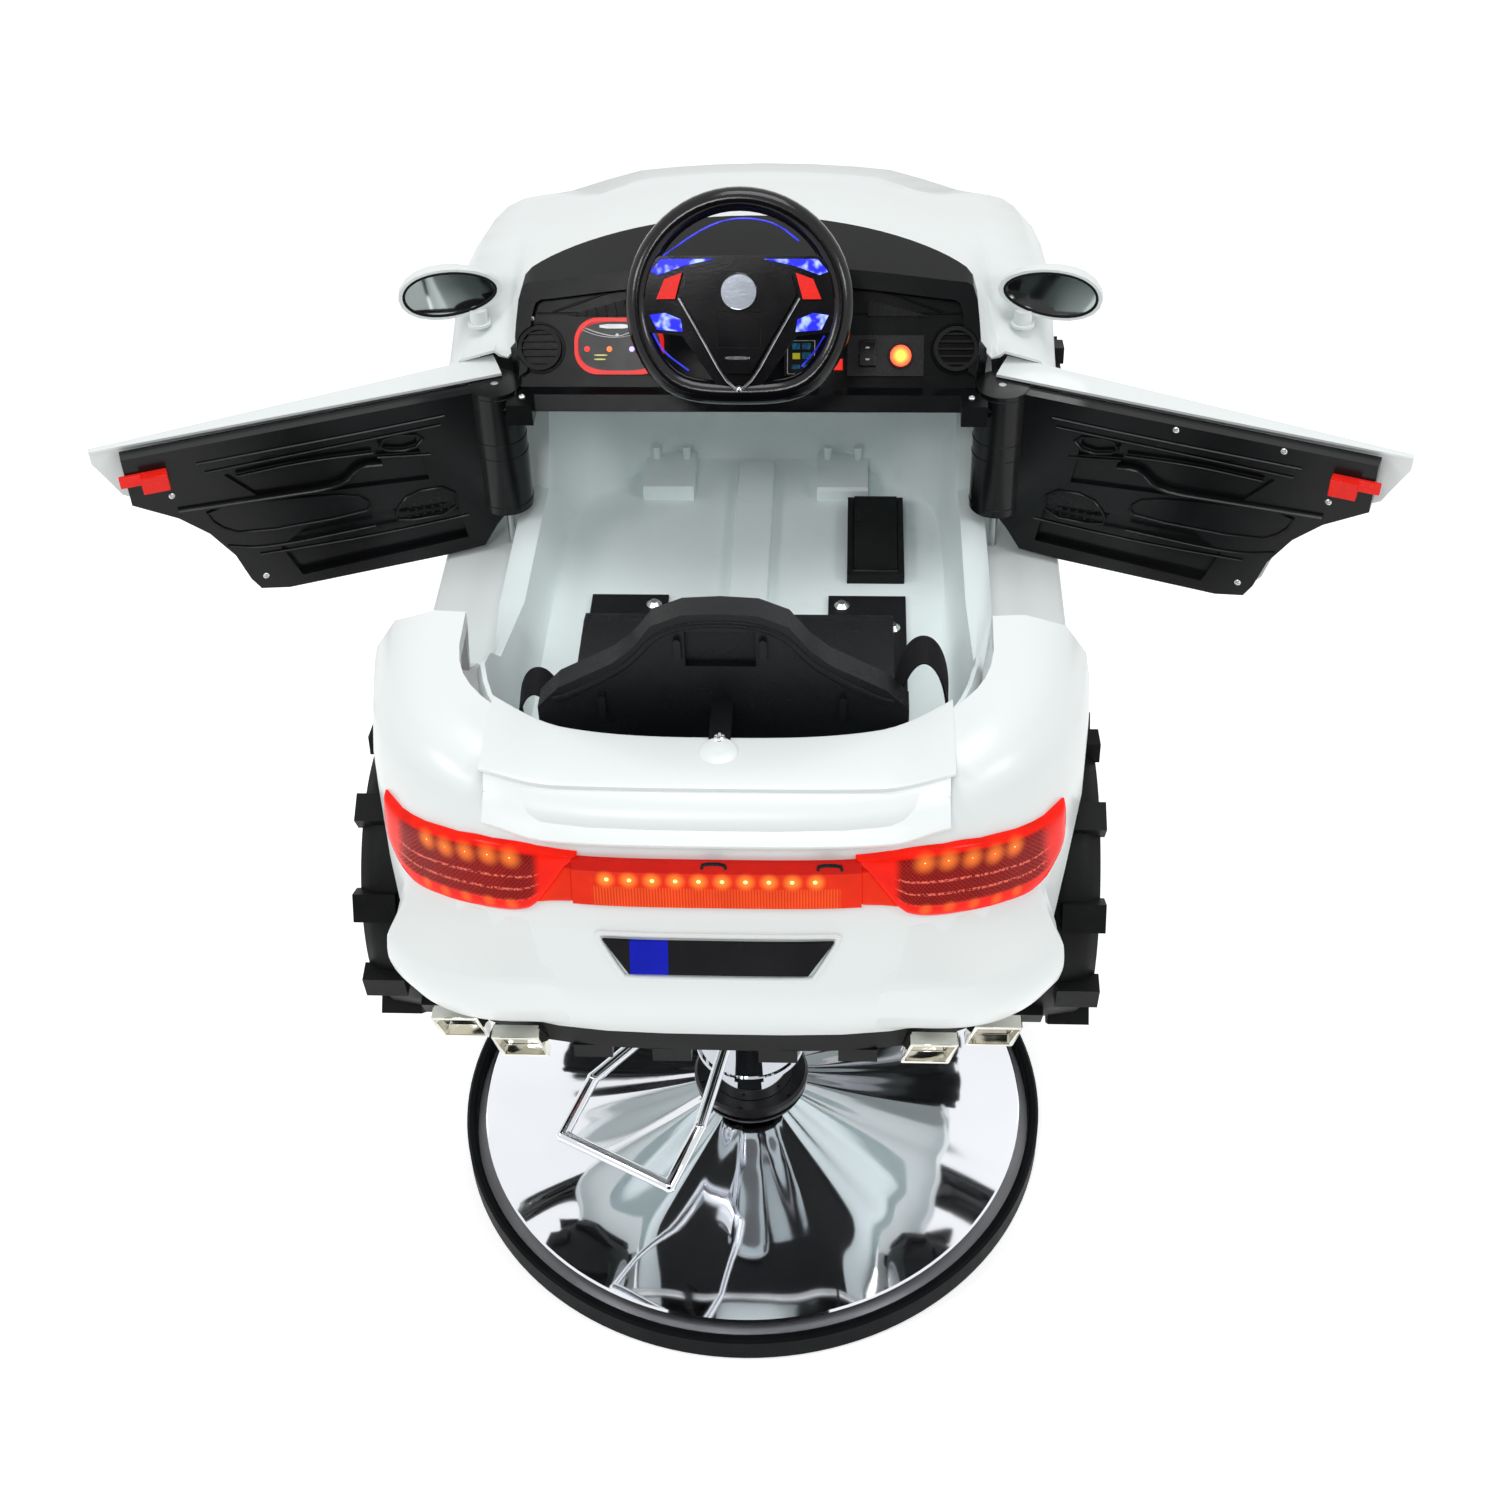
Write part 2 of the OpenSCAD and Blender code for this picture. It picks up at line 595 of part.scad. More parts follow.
// Height of the shell's edge under the door, at a place along the side
door_shares = [[0.948, 0.69], [0.838, 0.548], [0.775, 0.43], [0.725, 0.29], [0.693, 0.1], [0.66, 0.02],
  [0.64, 0]];
function door_edge(y) = let (s = (hinge_y - y) / door_l,
    k = [for (i = [0:len(door_shares) - 2])
    if (s <= door_shares[i][0] && s > door_shares[i + 1][0]) i])
  s > door_shares[0][0] ? door_shares[0][1] : len(k) == 0 ? 0
    : lerp(door_shares[k[0] + 1][1], door_shares[k[0]][1],
    (s - door_shares[k[0] + 1][0]) / (door_shares[k[0]][0] - door_shares[k[0] + 1][0]));
function sill_edge(y) = sill_z + (door_top_z - sill_z) * door_edge(y) - (door_edge(y) > 0 ? shut_gap : 0);

// Inner rim of the deck: t runs from 0 behind the seat to 1 at the door
function rear_rim(t) = [rim_half_x * spow(sin(90 * t), rim_pow),
  rim_jamb_y - rim_depth * spow(cos(90 * t), rim_pow)];

function rear_station(p, t) = let (full = p[1] < rim_jamb_y || t < 1, n = plan_normal(p), c = section(p),
    o = full ? rear_rim(t) : [sill_in, p[1]], zs = full ? c[3] : sill_edge(p[1]) - sill_corner,
    top = full ? deck(p[0] - n[0] * (c[2] + c[4])) : sill_edge(p[1]),
    rows = lower_rows(p, low_z(p[1]), c, zs, top, full ? c[4] : sill_corner),
    e = rows[len(rows) - 1], oz = full ? deck(o[0]) : top)
  concat(rows, [for (k = [1:rear_top_rows]) let (s = k / rear_top_rows)
    [lerp(e[0], o[0], s), lerp(e[1], o[1], s), full ? lerp(e[2], oz, s) : top]],
    full ? [[o[0], o[1], oz - lip_h]] : [[sill_in - cut_over, p[1], top]]);

arch_steps = 8;
function arch_ys(y0, r, s) = [for (i = [0:arch_steps]) y0 + s * r * cos(180 * i / arch_steps)];
rear_end_shares = [0, 0.16, 0.32, 0.46, 0.59, 0.7];
rear_corner_l = 202;
rear_side_ys = concat([rim_jamb_y - rear_corner_l], arch_ys(-rear_axle_y, arch_rear_r, -1));
sill_shares = [0, 0.13, 0.35, 0.6, 0.82, 1];
arch_end = arch_rear_r - rear_axle_y;
jamb_edge = 2;
arch_flat = 4;
jamb_ys = [rim_jamb_y - jamb_edge, rim_jamb_y + jamb_gap];
sill_ys = [for (s = sill_shares) lerp(arch_end + arch_flat, sill_front, s)];
function sort_in(list, more) = concat([for (v = list) if (v < more[0]) v], more,
  [for (v = list) if (v > more[1]) v]);
// The sill's ends tuck under the front fenders
joggle = 2 * skin_t + seat_gap;
joggle_l = [5, 25];
joggle_ys = [front_from - joggle_l[0], front_from + joggle_l[1]];
rear_ys = concat(sort_in(rear_side_ys, jamb_ys), sill_ys, joggle_ys);
rear_count = len(rear_end_shares) + len([for (y = rear_ys) if (y < rim_jamb_y) y]) - 1;
rear_half = concat(
  [for (i = [0:len(rear_end_shares) - 1]) rear_station(end_point(rear_end_shares[i], -1), i / rear_count)],
  [for (i = [0:len(rear_ys) - 1]) rear_station(side_point(rear_ys[i])
    - (rear_ys[i] > sill_front ? joggle * plan_normal(side_point(rear_ys[i])) : [0, 0]),
    min(1, (len(rear_end_shares) + i) / rear_count))]);
function flip(g) = [for (i = [len(g) - 1:-1:0]) [for (p = g[i]) [-p[0], p[1], p[2]]]];
function tail_of(g, k) = [for (i = [k:len(g) - 1]) g[i]];
rear_grid = concat(flip(tail_of(rear_half, 1)), rear_half);

body_tone = [0.93, 0.94, 0.94];
module rear_shell() color(body_tone) skin(rear_grid, 0, -skin_t);

// Front shell: fenders, hood and nose, with an edge round the dash
cowl_in = 93;
cowl_ahead = 35;
cowl_half_x = body_half_w - cowl_in;
cowl_jamb_y = hinge_y + cowl_ahead;
cowl_depth = 125;
cowl_drop = 46;
cowl_drop_l = 38;
cowl_drop_pow = 1.5;
front_top_rows = 4;
function cowl_rim(t) = [cowl_half_x * sin(90 * t), cowl_jamb_y + cowl_depth * cos(90 * t)];
function cowl_z(x, y) = hood(x, y)
  - cowl_drop * pow(clamp01(1 - (y - cowl_jamb_y) / cowl_drop_l), cowl_drop_pow);
function front_station(p, t) = let (n = plan_normal(p), c = section(p), d = c[2] + c[4],
    e0 = [p[0] - n[0] * d, p[1] - n[1] * d], o = cowl_rim(t), top = front_crest(e0[0], e0[1]),
    rows = lower_rows(p, low_z(p[1]), c, c[3], top, c[4]), lift = cowl_z(o[0], o[1]) - hood(o[0], o[1]))
  concat(rows, [for (k = [1:front_top_rows]) let (s = k / front_top_rows, x = lerp(e0[0], o[0], s),
    y = lerp(e0[1], o[1], s)) [x, y, lerp(front_crest(x, y), hood(x, y) + lift, ease(s))]],
    [[o[0], o[1], hood(o[0], o[1]) + lift - lip_h]]);
crest_drop = 12;
crest_in = 75;
crest_x = body_half_w - crest_in;
crest_w = 60;
function front_crest(x, y) = hood(x, y) - crest_drop * ease(1 - abs(abs(x) - crest_x + crest_w) / crest_w);

// Places of the rows before and behind the front arch
cowl_rows = [0, 20, 48];
nose_rows = [26, 54];
front_side_ys = concat([for (r = cowl_rows) front_from + r], arch_ys(front_axle_y, arch_front_r, -1),
  [for (r = nose_rows) front_axle_y + arch_front_r + r]);
front_end_shares = [0.66, 0.5, 0.34, 0.17, 0];
front_count = len(front_side_ys) + len(front_end_shares) - 1;
front_half = concat(
  [for (i = [0:len(front_side_ys) - 1]) front_station(side_point(front_side_ys[i]), 1 - i / front_count)],
  [for (i = [0:len(front_end_shares) - 1]) front_station(end_point(front_end_shares[i], 1),
    1 - (len(front_side_ys) + i) / front_count)]);
front_grid = concat(front_half, tail_of(flip(front_half), 1));
module front_shell() color(body_tone) skin(front_grid, 0, -skin_t);

// Trim that follows the rear and front faces: a patch between two edges, set off the skin
patch_split_share = 0.3;
function patch(shares, s, top, low, row) = [for (x = shares)
  let (p = end_point(x, s), z0 = low(x), z1 = top(x),
    mid = max(lerp(z0, z1, patch_split_share),
    min(lerp(z0, z1, 1 - patch_split_share), wall_row(section(p), row))))
  [for (z = [z0, mid, (mid + z1) / 2, z1]) wall_point(p, z)]];
lamp_t = 6;
// Rows of the wall that the patches follow
low_row = 1;
shoulder_row = 3;
lamp_drop = 46;
lamp_h = 88;
bar_h = 44;
lamp_top = deck_z - lamp_drop;
lamp_low = lamp_top - lamp_h;
bar_low = lamp_top - bar_h;
lamp_step_share = 0.18;
lamp_pow = 2.4;
lamp_split_share = 0.004;
lamp_in_share = 0.37;
lamp_out_share = 0.885;
lamp_steps = 12;
lamp_shares = [for (i = [0:lamp_steps]) lerp(lamp_in_share, lamp_out_share, i / lamp_steps)];
function lamp_bottom(x) = let (s = (x - lamp_in_share) / (lamp_out_share - lamp_in_share))
  s < lamp_step_share ? lerp(bar_low, lamp_low, ease(s / lamp_step_share))
    : lerp(lamp_low, lamp_top - lamp_t, pow((s - lamp_step_share) / (1 - lamp_step_share), lamp_pow));
module tail_lamps() color([0.8, 0.05, 0.03]) mirror_pair()
  skin(patch(lamp_shares, -1, function (x) lamp_top, function (x) lamp_bottom(x), shoulder_row),
    lamp_t, seat_gap);
bar_share = lamp_in_share - lamp_split_share;
bar_steps = 10;
module light_bar() color([0.85, 0.08, 0.04])
  skin(patch([for (i = [0:bar_steps]) lerp(-bar_share, bar_share, i / bar_steps)], -1,
    function (x) lamp_top, function (x) bar_low, shoulder_row), lamp_t, seat_gap);

plate_rise = [20, 49];
plate_low_z = crease_z + plate_rise[0];
plate_top_z = crease_z + plate_rise[1];
plate_steps = 3;
plate_half = 96;
plate_taper = 22;
plate_depth = 4;
module number_plate() color([0.05, 0.05, 0.06])
  skin([for (i = [-plate_steps:plate_steps]) [for (f = [0, 1])
    let (x = (plate_half - plate_taper * (1 - f)) * i / plate_steps)
    wall_point(end_point(x / body_half_w, -1), lerp(plate_low_z, plate_top_z, f))]],
    plate_depth, seat_gap);

// Black undertray with fins, and the two pairs of exhaust tips
tray_h = 22;
tray_in = 31;
tray_side_in = 67;
tray_half = body_half_w - tray_side_in;
fin_w = 34;
fin_h = 16;
fin_places_share = [-0.45, -0.18, 0.18, 0.45];
tray_l = 58;
tray_end_y = body_rear - tray_l;
tray_steps = 8;
tray_wall = 3;
function tray_edge(d) = [for (i = [-tray_steps:tray_steps]) let (x = tray_half * i / tray_steps,
  p = end_point(x / body_half_w, -1), n = plan_normal(p)) [p[0] - n[0] * d, p[1] - n[1] * d]];
tray_inner = tray_half - tray_in - 3 * tray_wall;
module diffuser() color([0.05, 0.05, 0.05]) {
  difference() {
    translate([0, 0, body_z - tray_h - seat_gap]) linear_extrude(tray_h)
    polygon(concat(tray_edge(tray_in), [[tray_half - tray_in, -tray_end_y + tray_in],
      [-tray_half + tray_in, -tray_end_y + tray_in]]));
    translate([0, 0, body_z - tray_h - seat_gap - cut_over]) linear_extrude(tray_h + cut_over - tray_wall)
    polygon(concat([for (p = tray_edge(tray_in + tray_wall)) if (abs(p[0]) < tray_inner) p],
      [for (x = [1, -1]) [x * tray_inner, -tray_end_y + tray_in - tray_wall]]));
  }
  for (s = fin_places_share) let (x = tray_half * s, p = end_point(x / body_half_w, -1))
    box([x - fin_w / 2, p[1] + tray_in, body_z - tray_h - fin_h],
    [x + fin_w / 2, -tray_end_y + tray_in, body_z - tray_h]);
}
tip_w = 50;
tip_h = 25;
tip_slant = 8;
tip_wall = 3;
tip_l = 15;
tip_in = 80;
tip_x = tray_half - tip_in;
tip_step = 56;
tip_seat_share = 0.2;
module tip_shape(o) polygon([[-tip_w / 2 + o, -tip_h / 2 + o], [tip_w / 2 - o - tip_slant, -tip_h / 2 + o],
  [tip_w / 2 - o, tip_h / 2 - o], [-tip_w / 2 + o + tip_slant, tip_h / 2 - o]]);
module exhaust_tips() color([0.85, 0.86, 0.87]) mirror_pair() for (i = [0, 1]) let (x = tip_x + tip_step * i)
  translate([x, lookup(x - tip_w / 2 + tip_slant * tip_seat_share, tray_edge(tray_in)) - seat_gap,
    body_z - tip_h / 2 - tip_wall]) rotate([90, 0, 0]) difference() {
    linear_extrude(tip_l) tip_shape(0);
    translate([0, 0, tip_wall]) linear_extrude(tip_l) tip_shape(tip_wall);
  }

// Head lamps and the lower intake at the nose
head_rise = [34, 80];
head_low = crease_z + head_rise[0];
head_high = crease_z + head_rise[1];
head_end_share = 0.12;
head_pow = 2.2;
head_in_share = 0.5;
head_out_share = 0.84;
head_steps = 8;
function head_half(x) = let (s = (x - head_in_share) / (head_out_share - head_in_share))
  (head_high - head_low) / 2 * max(head_end_share, sqrt(1 - pow(abs(2 * s - 1), head_pow)));
module headlamps() color([0.85, 0.88, 0.9]) mirror_pair()
  skin(patch([for (i = [0:head_steps]) lerp(head_out_share, head_in_share, i / head_steps)], 1,
    function (x) (head_low + head_high) / 2 + head_half(x),
    function (x) (head_low + head_high) / 2 - head_half(x), shoulder_row), lamp_t, seat_gap);
grille_rise = [22, 66];
grille_low = body_z + grille_rise[0];
grille_high = body_z + grille_rise[1];
grille_share = 0.5;
grille_fall_share = 0.3;
module grille() color([0.05, 0.05, 0.05])
  skin(patch([for (i = [0:bar_steps]) lerp(grille_share, -grille_share, i / bar_steps)], 1,
    function (x) lerp(grille_high, grille_low, grille_fall_share * abs(x) / grille_share),
    function (x) grille_low, low_row), lamp_t, seat_gap);

// Tub: floor, footwell, seat well and a rim that meets the shells
tub_tuck = 2;
tub_front_y = 500;
tub_rear_y = rim_jamb_y - rim_depth + tub_tuck;
tub_mid = (tub_front_y + tub_rear_y) / 2;
tub_half_l = (tub_front_y - tub_rear_y) / 2;
tub_front_z = 742;
tub_side_z = 634;
tub_rear_z = deck_z - lip_h - tub_tuck - seat_gap;
tub_pow = 5;
tub_steps = 56;
hump_in = 34;
hump_back = 128;
hump_from = tub_front_y - hump_back;
hump_over = 50;
hump_top = 690;
hump_fade = 40;
cowl_blend = 60;
tub_rim_in = 79;
tub_neck_in = 98.5;
tub_rim_x = body_half_w - tub_rim_in;
tub_neck_x = body_half_w - tub_neck_in;
flange_from = 26;
flange_z = sill_z + seat_gap;
function tub_rim(y) = lerp(tub_neck_x, tub_rim_x, ease((y - flange_from) / flange_from));
function tub_top(y) = y < rim_jamb_y ? tub_rear_z : max(sill_edge(y) + lip_h,
  lerp(tub_side_z, tub_front_z, ease((y - cowl_jamb_y) / cowl_blend)));
function ring(k, half_w, half_l, y0, z) = let (a = 360 * k / tub_steps)
  [half_w * spow(cos(a), 2 / tub_pow), y0 + half_l * spow(sin(a), 2 / tub_pow), z];
// Narrowing of the footwell between the front wheels and of the seat well between the rear ones
function hump(y, z) = hump_in * ease((y - hump_from) / hump_over) * (1 - ease((z - hump_top) / hump_fade));
function pinch(p) = [p[0] - sign(p[0]) * min(abs(p[0]), hump(p[1], p[2])), p[1], p[2]];
// Loops from the floor's edge to the rim: way out from the edge, room left at the ends, share of the height
tub_leans = [-9, -1, 3, 7, 11, 15];
tub_rooms = [45, 36, 31, 24, 18, 12];
tub_rise_shares = [0, 0.03, 0.14, 0.4, 0.7, 1];
tub_last = len(tub_leans) - 1;
tub_wall_x = floor_half_w + tub_leans[tub_last];
floor_inner_share = 0.5;
fold_room = 7;
fold_h = 2;
fold_drop = 3;
fold_l = 12;
function tub_station(k) = let (edge = ring(k, tub_wall_x, tub_half_l - tub_rooms[tub_last], tub_mid, 0),
    top = tub_top(edge[1]), side = edge[1] > rim_jamb_y && edge[1] < cowl_jamb_y,
    rim = ring(k, tub_rim(edge[1]), tub_half_l, tub_mid, 0),
    fold = ring(k, (tub_rim(edge[1]) + tub_wall_x) / 2, tub_half_l - fold_room, tub_mid, 0))
  concat([pinch(ring(k, (floor_half_w + tub_leans[0]) * floor_inner_share,
    (tub_half_l - tub_rooms[0]) * floor_inner_share, tub_mid, floor_z))],
    [for (l = [0:tub_last]) pinch(ring(k, floor_half_w + tub_leans[l], tub_half_l - tub_rooms[l],
    tub_mid, lerp(floor_z, top, tub_rise_shares[l])))],
    [[fold[0], fold[1], top + fold_h], [rim[0], rim[1], top - fold_drop],
    [rim[0], rim[1], side ? max(flange_z + skin_t, sill_edge(edge[1]) - lip_h) : top - fold_l]]);
tub_grid = [for (k = [0:tub_steps - 1]) tub_station(k)];
tub_tone = [0.86, 0.88, 0.87];

// Ridge along the middle of the floor, and the two moulded blocks with twin stubs before the front wall
ridge_w = 42;
ridge_h = 12;
ridge_side = 4;
ridge_rear_y = 56;
ridge_back = 50;
ridge_y = [ridge_rear_y, tub_front_y - ridge_back];
block_w = 56;
block_l = 72;
block_in = 81;
block_back = 40;
block_x = [floor_half_w - block_in - block_w, floor_half_w - block_in];
block_y = [tub_front_y - block_back - block_l, tub_front_y - block_back];
block_h = 16;
block_edge = 3;
stub_r = 4.5;
stub_h = 15;
stub_in = 11;
module floor_block() {
  translate([block_x[0], 0, 0]) rotate([90, 0, 90]) linear_extrude(block_x[1] - block_x[0])
    polygon([[block_y[0], floor_z - skin_t / 2], [block_y[0], floor_z + block_h - block_edge],
    [block_y[0] + block_edge, floor_z + block_h], [block_y[1], floor_z + block_h],
    [block_y[1], floor_z - skin_t / 2]]);
  for (x = [block_x[0] + stub_in, block_x[1] - stub_in])
    translate([x, block_y[1] - stub_in, floor_z]) cylinder(r = stub_r, h = block_h + stub_h);
}
module tub() color(tub_tone) {
  skin_floor(tub_grid, skin_t);
  translate([0, ridge_y[1], 0]) rotate([90, 0, 0]) linear_extrude(ridge_y[1] - ridge_y[0])
    polygon([for (q = [[-1, 0], [1, 0], [1, 1], [-1, 1]])
    [q[0] * (ridge_w - q[1] * ridge_side) / 2, floor_z - skin_t / 2 + q[1] * ridge_h]]);
  mirror_pair() floor_block();
}

// Closed loop skin whose first row is capped flat at its middle
module skin_floor(g, t) {
  n = len(g);
  m = len(g[0]);
  nrm = [for (i = [0:n - 1]) for (j = [0:m - 1]) j < 2 ? [0, 0, 1] : -grid_normal(g, i, j, true)];
  mid = [0, tub_mid, floor_z];
  pts = concat([for (i = [0:n - 1]) for (j = [0:m - 1]) g[i][j]],
    [for (i = [0:n - 1]) for (j = [0:m - 1]) g[i][j] - t * nrm[i * m + j]], [mid, mid - [0, 0, t]]);
  k = n * m;
  polyhedron(pts, concat(
    [for (i = [0:n - 1]) for (j = [0:m - 2]) let (a = i * m + j, b = ((i + 1) % n) * m + j)
    for (f = [[a, b + 1, a + 1], [a, b, b + 1]]) f],
    [for (i = [0:n - 1]) for (j = [0:m - 2]) let (a = k + i * m + j, b = k + ((i + 1) % n) * m + j)
    for (f = [[a, a + 1, b + 1], [a, b + 1, b]]) f],
    [for (i = [0:n - 1]) let (a = i * m + m - 1, b = ((i + 1) % n) * m + m - 1)
    for (f = [[a, b, k + b], [a, k + b, k + a]]) f],
    [for (i = [0:n - 1]) let (a = i * m, b = ((i + 1) % n) * m)
    for (f = [[2 * k, b, a], [2 * k + 1, k + a, k + b]]) f]));
}

// Dash: an arch that the front shell's edge goes round, cut by the sloping fascia
fascia_y = 275;
fascia_t = 12;
dash_border = 14;
dash_rear_y = 262;
dash_gap = 0.5;
dash_rise = 3;
dash_end_z = 822;
dash_end_r = 12;
dash_wall = 4;
function cowl_edge(t) = let (r = cowl_rim(t))
  [r[0] - dash_gap, r[1] - dash_gap, cowl_z(r[0], r[1]) + dash_rise];
arch_right = [for (i = [1:front_count]) cowl_edge(1 - i / front_count)];
function both_sides(pts) = concat(pts,
  [for (i = [len(pts) - 1:-1:0]) if (pts[i][0] > 0) [-pts[i][0], pts[i][1]]]);
dash_face = both_sides(concat([[dash_half_w, dash_z], [dash_half_w, dash_end_z - dash_end_r],
  [dash_half_w - dash_end_r / 3, dash_end_z - dash_end_r / 3], [dash_half_w - dash_end_r, dash_end_z]],
  [for (q = arch_right) [max(q[0], 0), q[2]]]));
dash_plan = both_sides(concat([[dash_half_w, dash_rear_y - cut_over],
  [dash_half_w, cowl_jamb_y - 2 * dash_end_r], [cowl_half_x - dash_gap, cowl_jamb_y]],
  [for (q = arch_right) [max(q[0], 0), q[1]]]));
module on_fascia(x, s) translate([x, fascia_y + s * cos(fascia_tilt), dash_z + s * sin(fascia_tilt)])
  rotate([fascia_tilt, 0, 0]) children();
module fascia_half(h) on_fascia(0, 0) translate([-body_half_w, -body_half_w, -2 * body_half_w])
  cube([2 * body_half_w, 3 * body_half_w, 2 * body_half_w + h]);
module dash_block(o) translate([0, cowl_jamb_y + 2 * cowl_depth, 0]) rotate([90, 0, 0])
  linear_extrude(3 * cowl_depth) polygon([for (q = dash_face)
    [q[0] * (1 - o / dash_half_w), max(dash_z + o, q[1] - o)]]);

column_r = 9;
boss_r = 30;
boss_l = 32;
boss_at = 126;
steer_hub = [0, steer_y, steer_z];
module on_column(h) translate(steer_hub) rotate([90 - column_tilt, 0, 0]) translate([0, 0, h]) children();

bracket_in = 19;
bracket_half_w = dash_half_w - bracket_in;
bracket_h = 9;
bracket_l = 26;
module dash() color([0.07, 0.07, 0.08]) difference() {
  union() {
    difference() {
    intersection() {
      dash_block(0);
      translate([0, 0, dash_z - cut_over]) linear_extrude(body_half_w) polygon(dash_plan);
      fascia_half(fascia_t);
    }
    intersection() {
      dash_block(dash_border);
      difference() {
      translate([-body_half_w, 0, dash_z])
        cube([2 * body_half_w, 2 * body_half_w, body_half_w]);
      fascia_half(0);
      }
    }
    intersection() {
      translate([0, 0, dash_z - cut_over]) linear_extrude(body_half_w) polygon([for (q = dash_plan)
      [q[0] * (1 - 3 * dash_wall / dash_half_w),
        q[1] - (q[1] > dash_rear_y ? 3 * dash_wall : 0)]]);
      translate([0, -dash_wall, -dash_wall]) fascia_half(-dash_wall);
      translate([0, 0, -3 * dash_wall]) dash_block(0);
    }
    }
    on_column(-boss_at - boss_l) cylinder(r = boss_r, h = boss_l);
    mirror_pair() box([bracket_half_w - bracket_l / 2, dash_rear_y - bracket_l / 2, dash_z - bracket_h],
    [bracket_half_w + bracket_l / 2, dash_rear_y + bracket_l, dash_z + dash_border]);
  }
  on_column(-boss_at - 3 * boss_l) cylinder(r = column_r + run_gap, h = 4 * boss_l);
  mirror_pair() {
    on_fascia(vent_x, vent_s) cylinder(r = vent_r + seat_gap, h = boss_l);
    on_fascia(fan_x, fan_s - fan_h / 2) linear_extrude(boss_l)
    translate([-fan_w / 2 - seat_gap, -seat_gap])
      square([fan_w + 2 * seat_gap, fan_h + 2 * seat_gap]);
    translate([hinge_x, hinge_y, barrel_z[0]]) cylinder(d = barrel_d + 2 * barrel_gap, h = body_half_w);
  }
  on_fascia(start_x, start_s) translate([0, 0, -boss_l])
    cylinder(r = start_d / 2 * stem_share + run_gap, h = 2 * boss_l);
}

vent_in = 37;
vent_x = dash_half_w - vent_in;
vent_s = 55;
vent_ring = 4;
vent_h = 7;
slat_count = 5;
slat_t = 2;
fan_in = 95;
fan_x = dash_half_w - fan_in;
fan_s = 95;
fan_w = 60;
fan_h = 16;
fan_slats = 6;
fan_lean = 12;
slat_h_share = 0.7;
module air_vents() color([0.09, 0.09, 0.1]) mirror_pair() {
  on_fascia(vent_x, vent_s) translate([0, 0, seat_gap]) {
    difference() {
    cylinder(r = vent_r, h = vent_h);
    translate([0, 0, -cut_over]) cylinder(r = vent_r - vent_ring, h = vent_h + 2 * cut_over);
    }
    for (i = [0:slat_count - 1]) let (y = (vent_r - vent_ring) * (2 * (i + 0.5) / slat_count - 1),
    w = sqrt(pow(vent_r - vent_ring / 2, 2) - y * y))
    translate([-w, y - slat_t / 2, 0]) cube([2 * w, slat_t, vent_h * slat_h_share]);
  }
  on_fascia(fan_x, fan_s - fan_h / 2) translate([0, 0, seat_gap]) {
    linear_extrude(slat_t) polygon([[-fan_w / 2, 0], [fan_w / 2, 0], [-fan_w / 2, fan_h]]);
    for (i = [0:fan_slats - 1]) let (x = fan_w * (i / fan_slats - 0.5))
    translate([x, 0, 0]) rotate([0, 0, -fan_lean])
      cube([slat_t, fan_h * (1 - i / fan_slats), vent_h * slat_h_share]);
  }
}

// Media panel at the left, display and switch panel at the right
media_in = 117;
media_x = media_in - dash_half_w;
media_s = 57;
media_w = 90;
media_h = 56;
media_t = 5;
bezel = 4;
media_button_d = 5;
media_buttons = 4;
pill_share = 0.42;
button_row_shares = [-0.36, -0.05];
module pill(w, h, t) {
  r = h * pill_share;
  for (x = [-1, 1]) for (y = [-1, 1])
    translate([x * (w / 2 - r), y * (h / 2 - r), 0]) cylinder(r = r, h = t);
  translate([-w / 2, -h / 2 + r, 0]) cube([w, h - 2 * r, t]);
  translate([-w / 2 + r, -h / 2, 0]) cube([w - 2 * r, h, t]);
}
module media_panel() color([0.75, 0.05, 0.04]) {
  on_fascia(media_x, media_s) translate([0, 0, seat_gap]) {
    difference() {
    pill(media_w, media_h, media_t);
    translate([0, 0, media_t - bezel / 2]) pill(media_w - 2 * bezel, media_h - 2 * bezel, media_t);
    }
    for (i = [0:media_buttons - 1])
    translate([media_w * (i / media_buttons + button_row_shares[0]),
      media_h * button_row_shares[1], 0])
      cylinder(d = media_button_d, h = media_t);
  }
}
display_in = 191;
switch_in = 107;
display_x = dash_half_w - display_in;
switch_x = dash_half_w - switch_in;
switch_s = 48;
switch_w = 76;
switch_h = 40;
start_in = 92;
start_x = dash_half_w - start_in;
start_s = 48;
rocker_in = 125;
rocker_x = dash_half_w - rocker_in;
rocker_s = 50;
rocker_w = 16;
rocker_l = 24;
stem_share = 0.4;
button_travel = 2;
rocker_axle_d = 3;
rocker_play = 1.5;
display_w = 34;
display_h = 36;
module at_rocker() on_fascia(rocker_x, rocker_s) translate([0, 0, media_t + seat_gap])
  rotate([90, 0, 90]) children();
module switch_panel() color([0.06, 0.06, 0.07]) {
  on_fascia(switch_x, switch_s) translate([0, 0, seat_gap]) difference() {
    translate([-switch_w / 2, -switch_h / 2, 0]) cube([switch_w, switch_h, media_t]);
    translate([start_x - switch_x, start_s - switch_s, -cut_over])
    cylinder(r = start_d / 2 + seat_gap, h = media_t + 2 * cut_over);
    translate([rocker_x - switch_x - rocker_w / 2 - seat_gap,
      rocker_s - switch_s - rocker_l / 2 - rocker_play, cut_over])
      cube([rocker_w + 2 * seat_gap, rocker_l + 2 * rocker_play, media_t]);
  }
  at_rocker() translate([0, 0, -rocker_w / 2 - cut_over])
    cylinder(d = rocker_axle_d, h = rocker_w + 2 * cut_over);
  on_fascia(display_x, start_s) translate([-display_w / 2, -switch_h / 2, seat_gap])
    cube([display_w, display_h, media_t]);
}
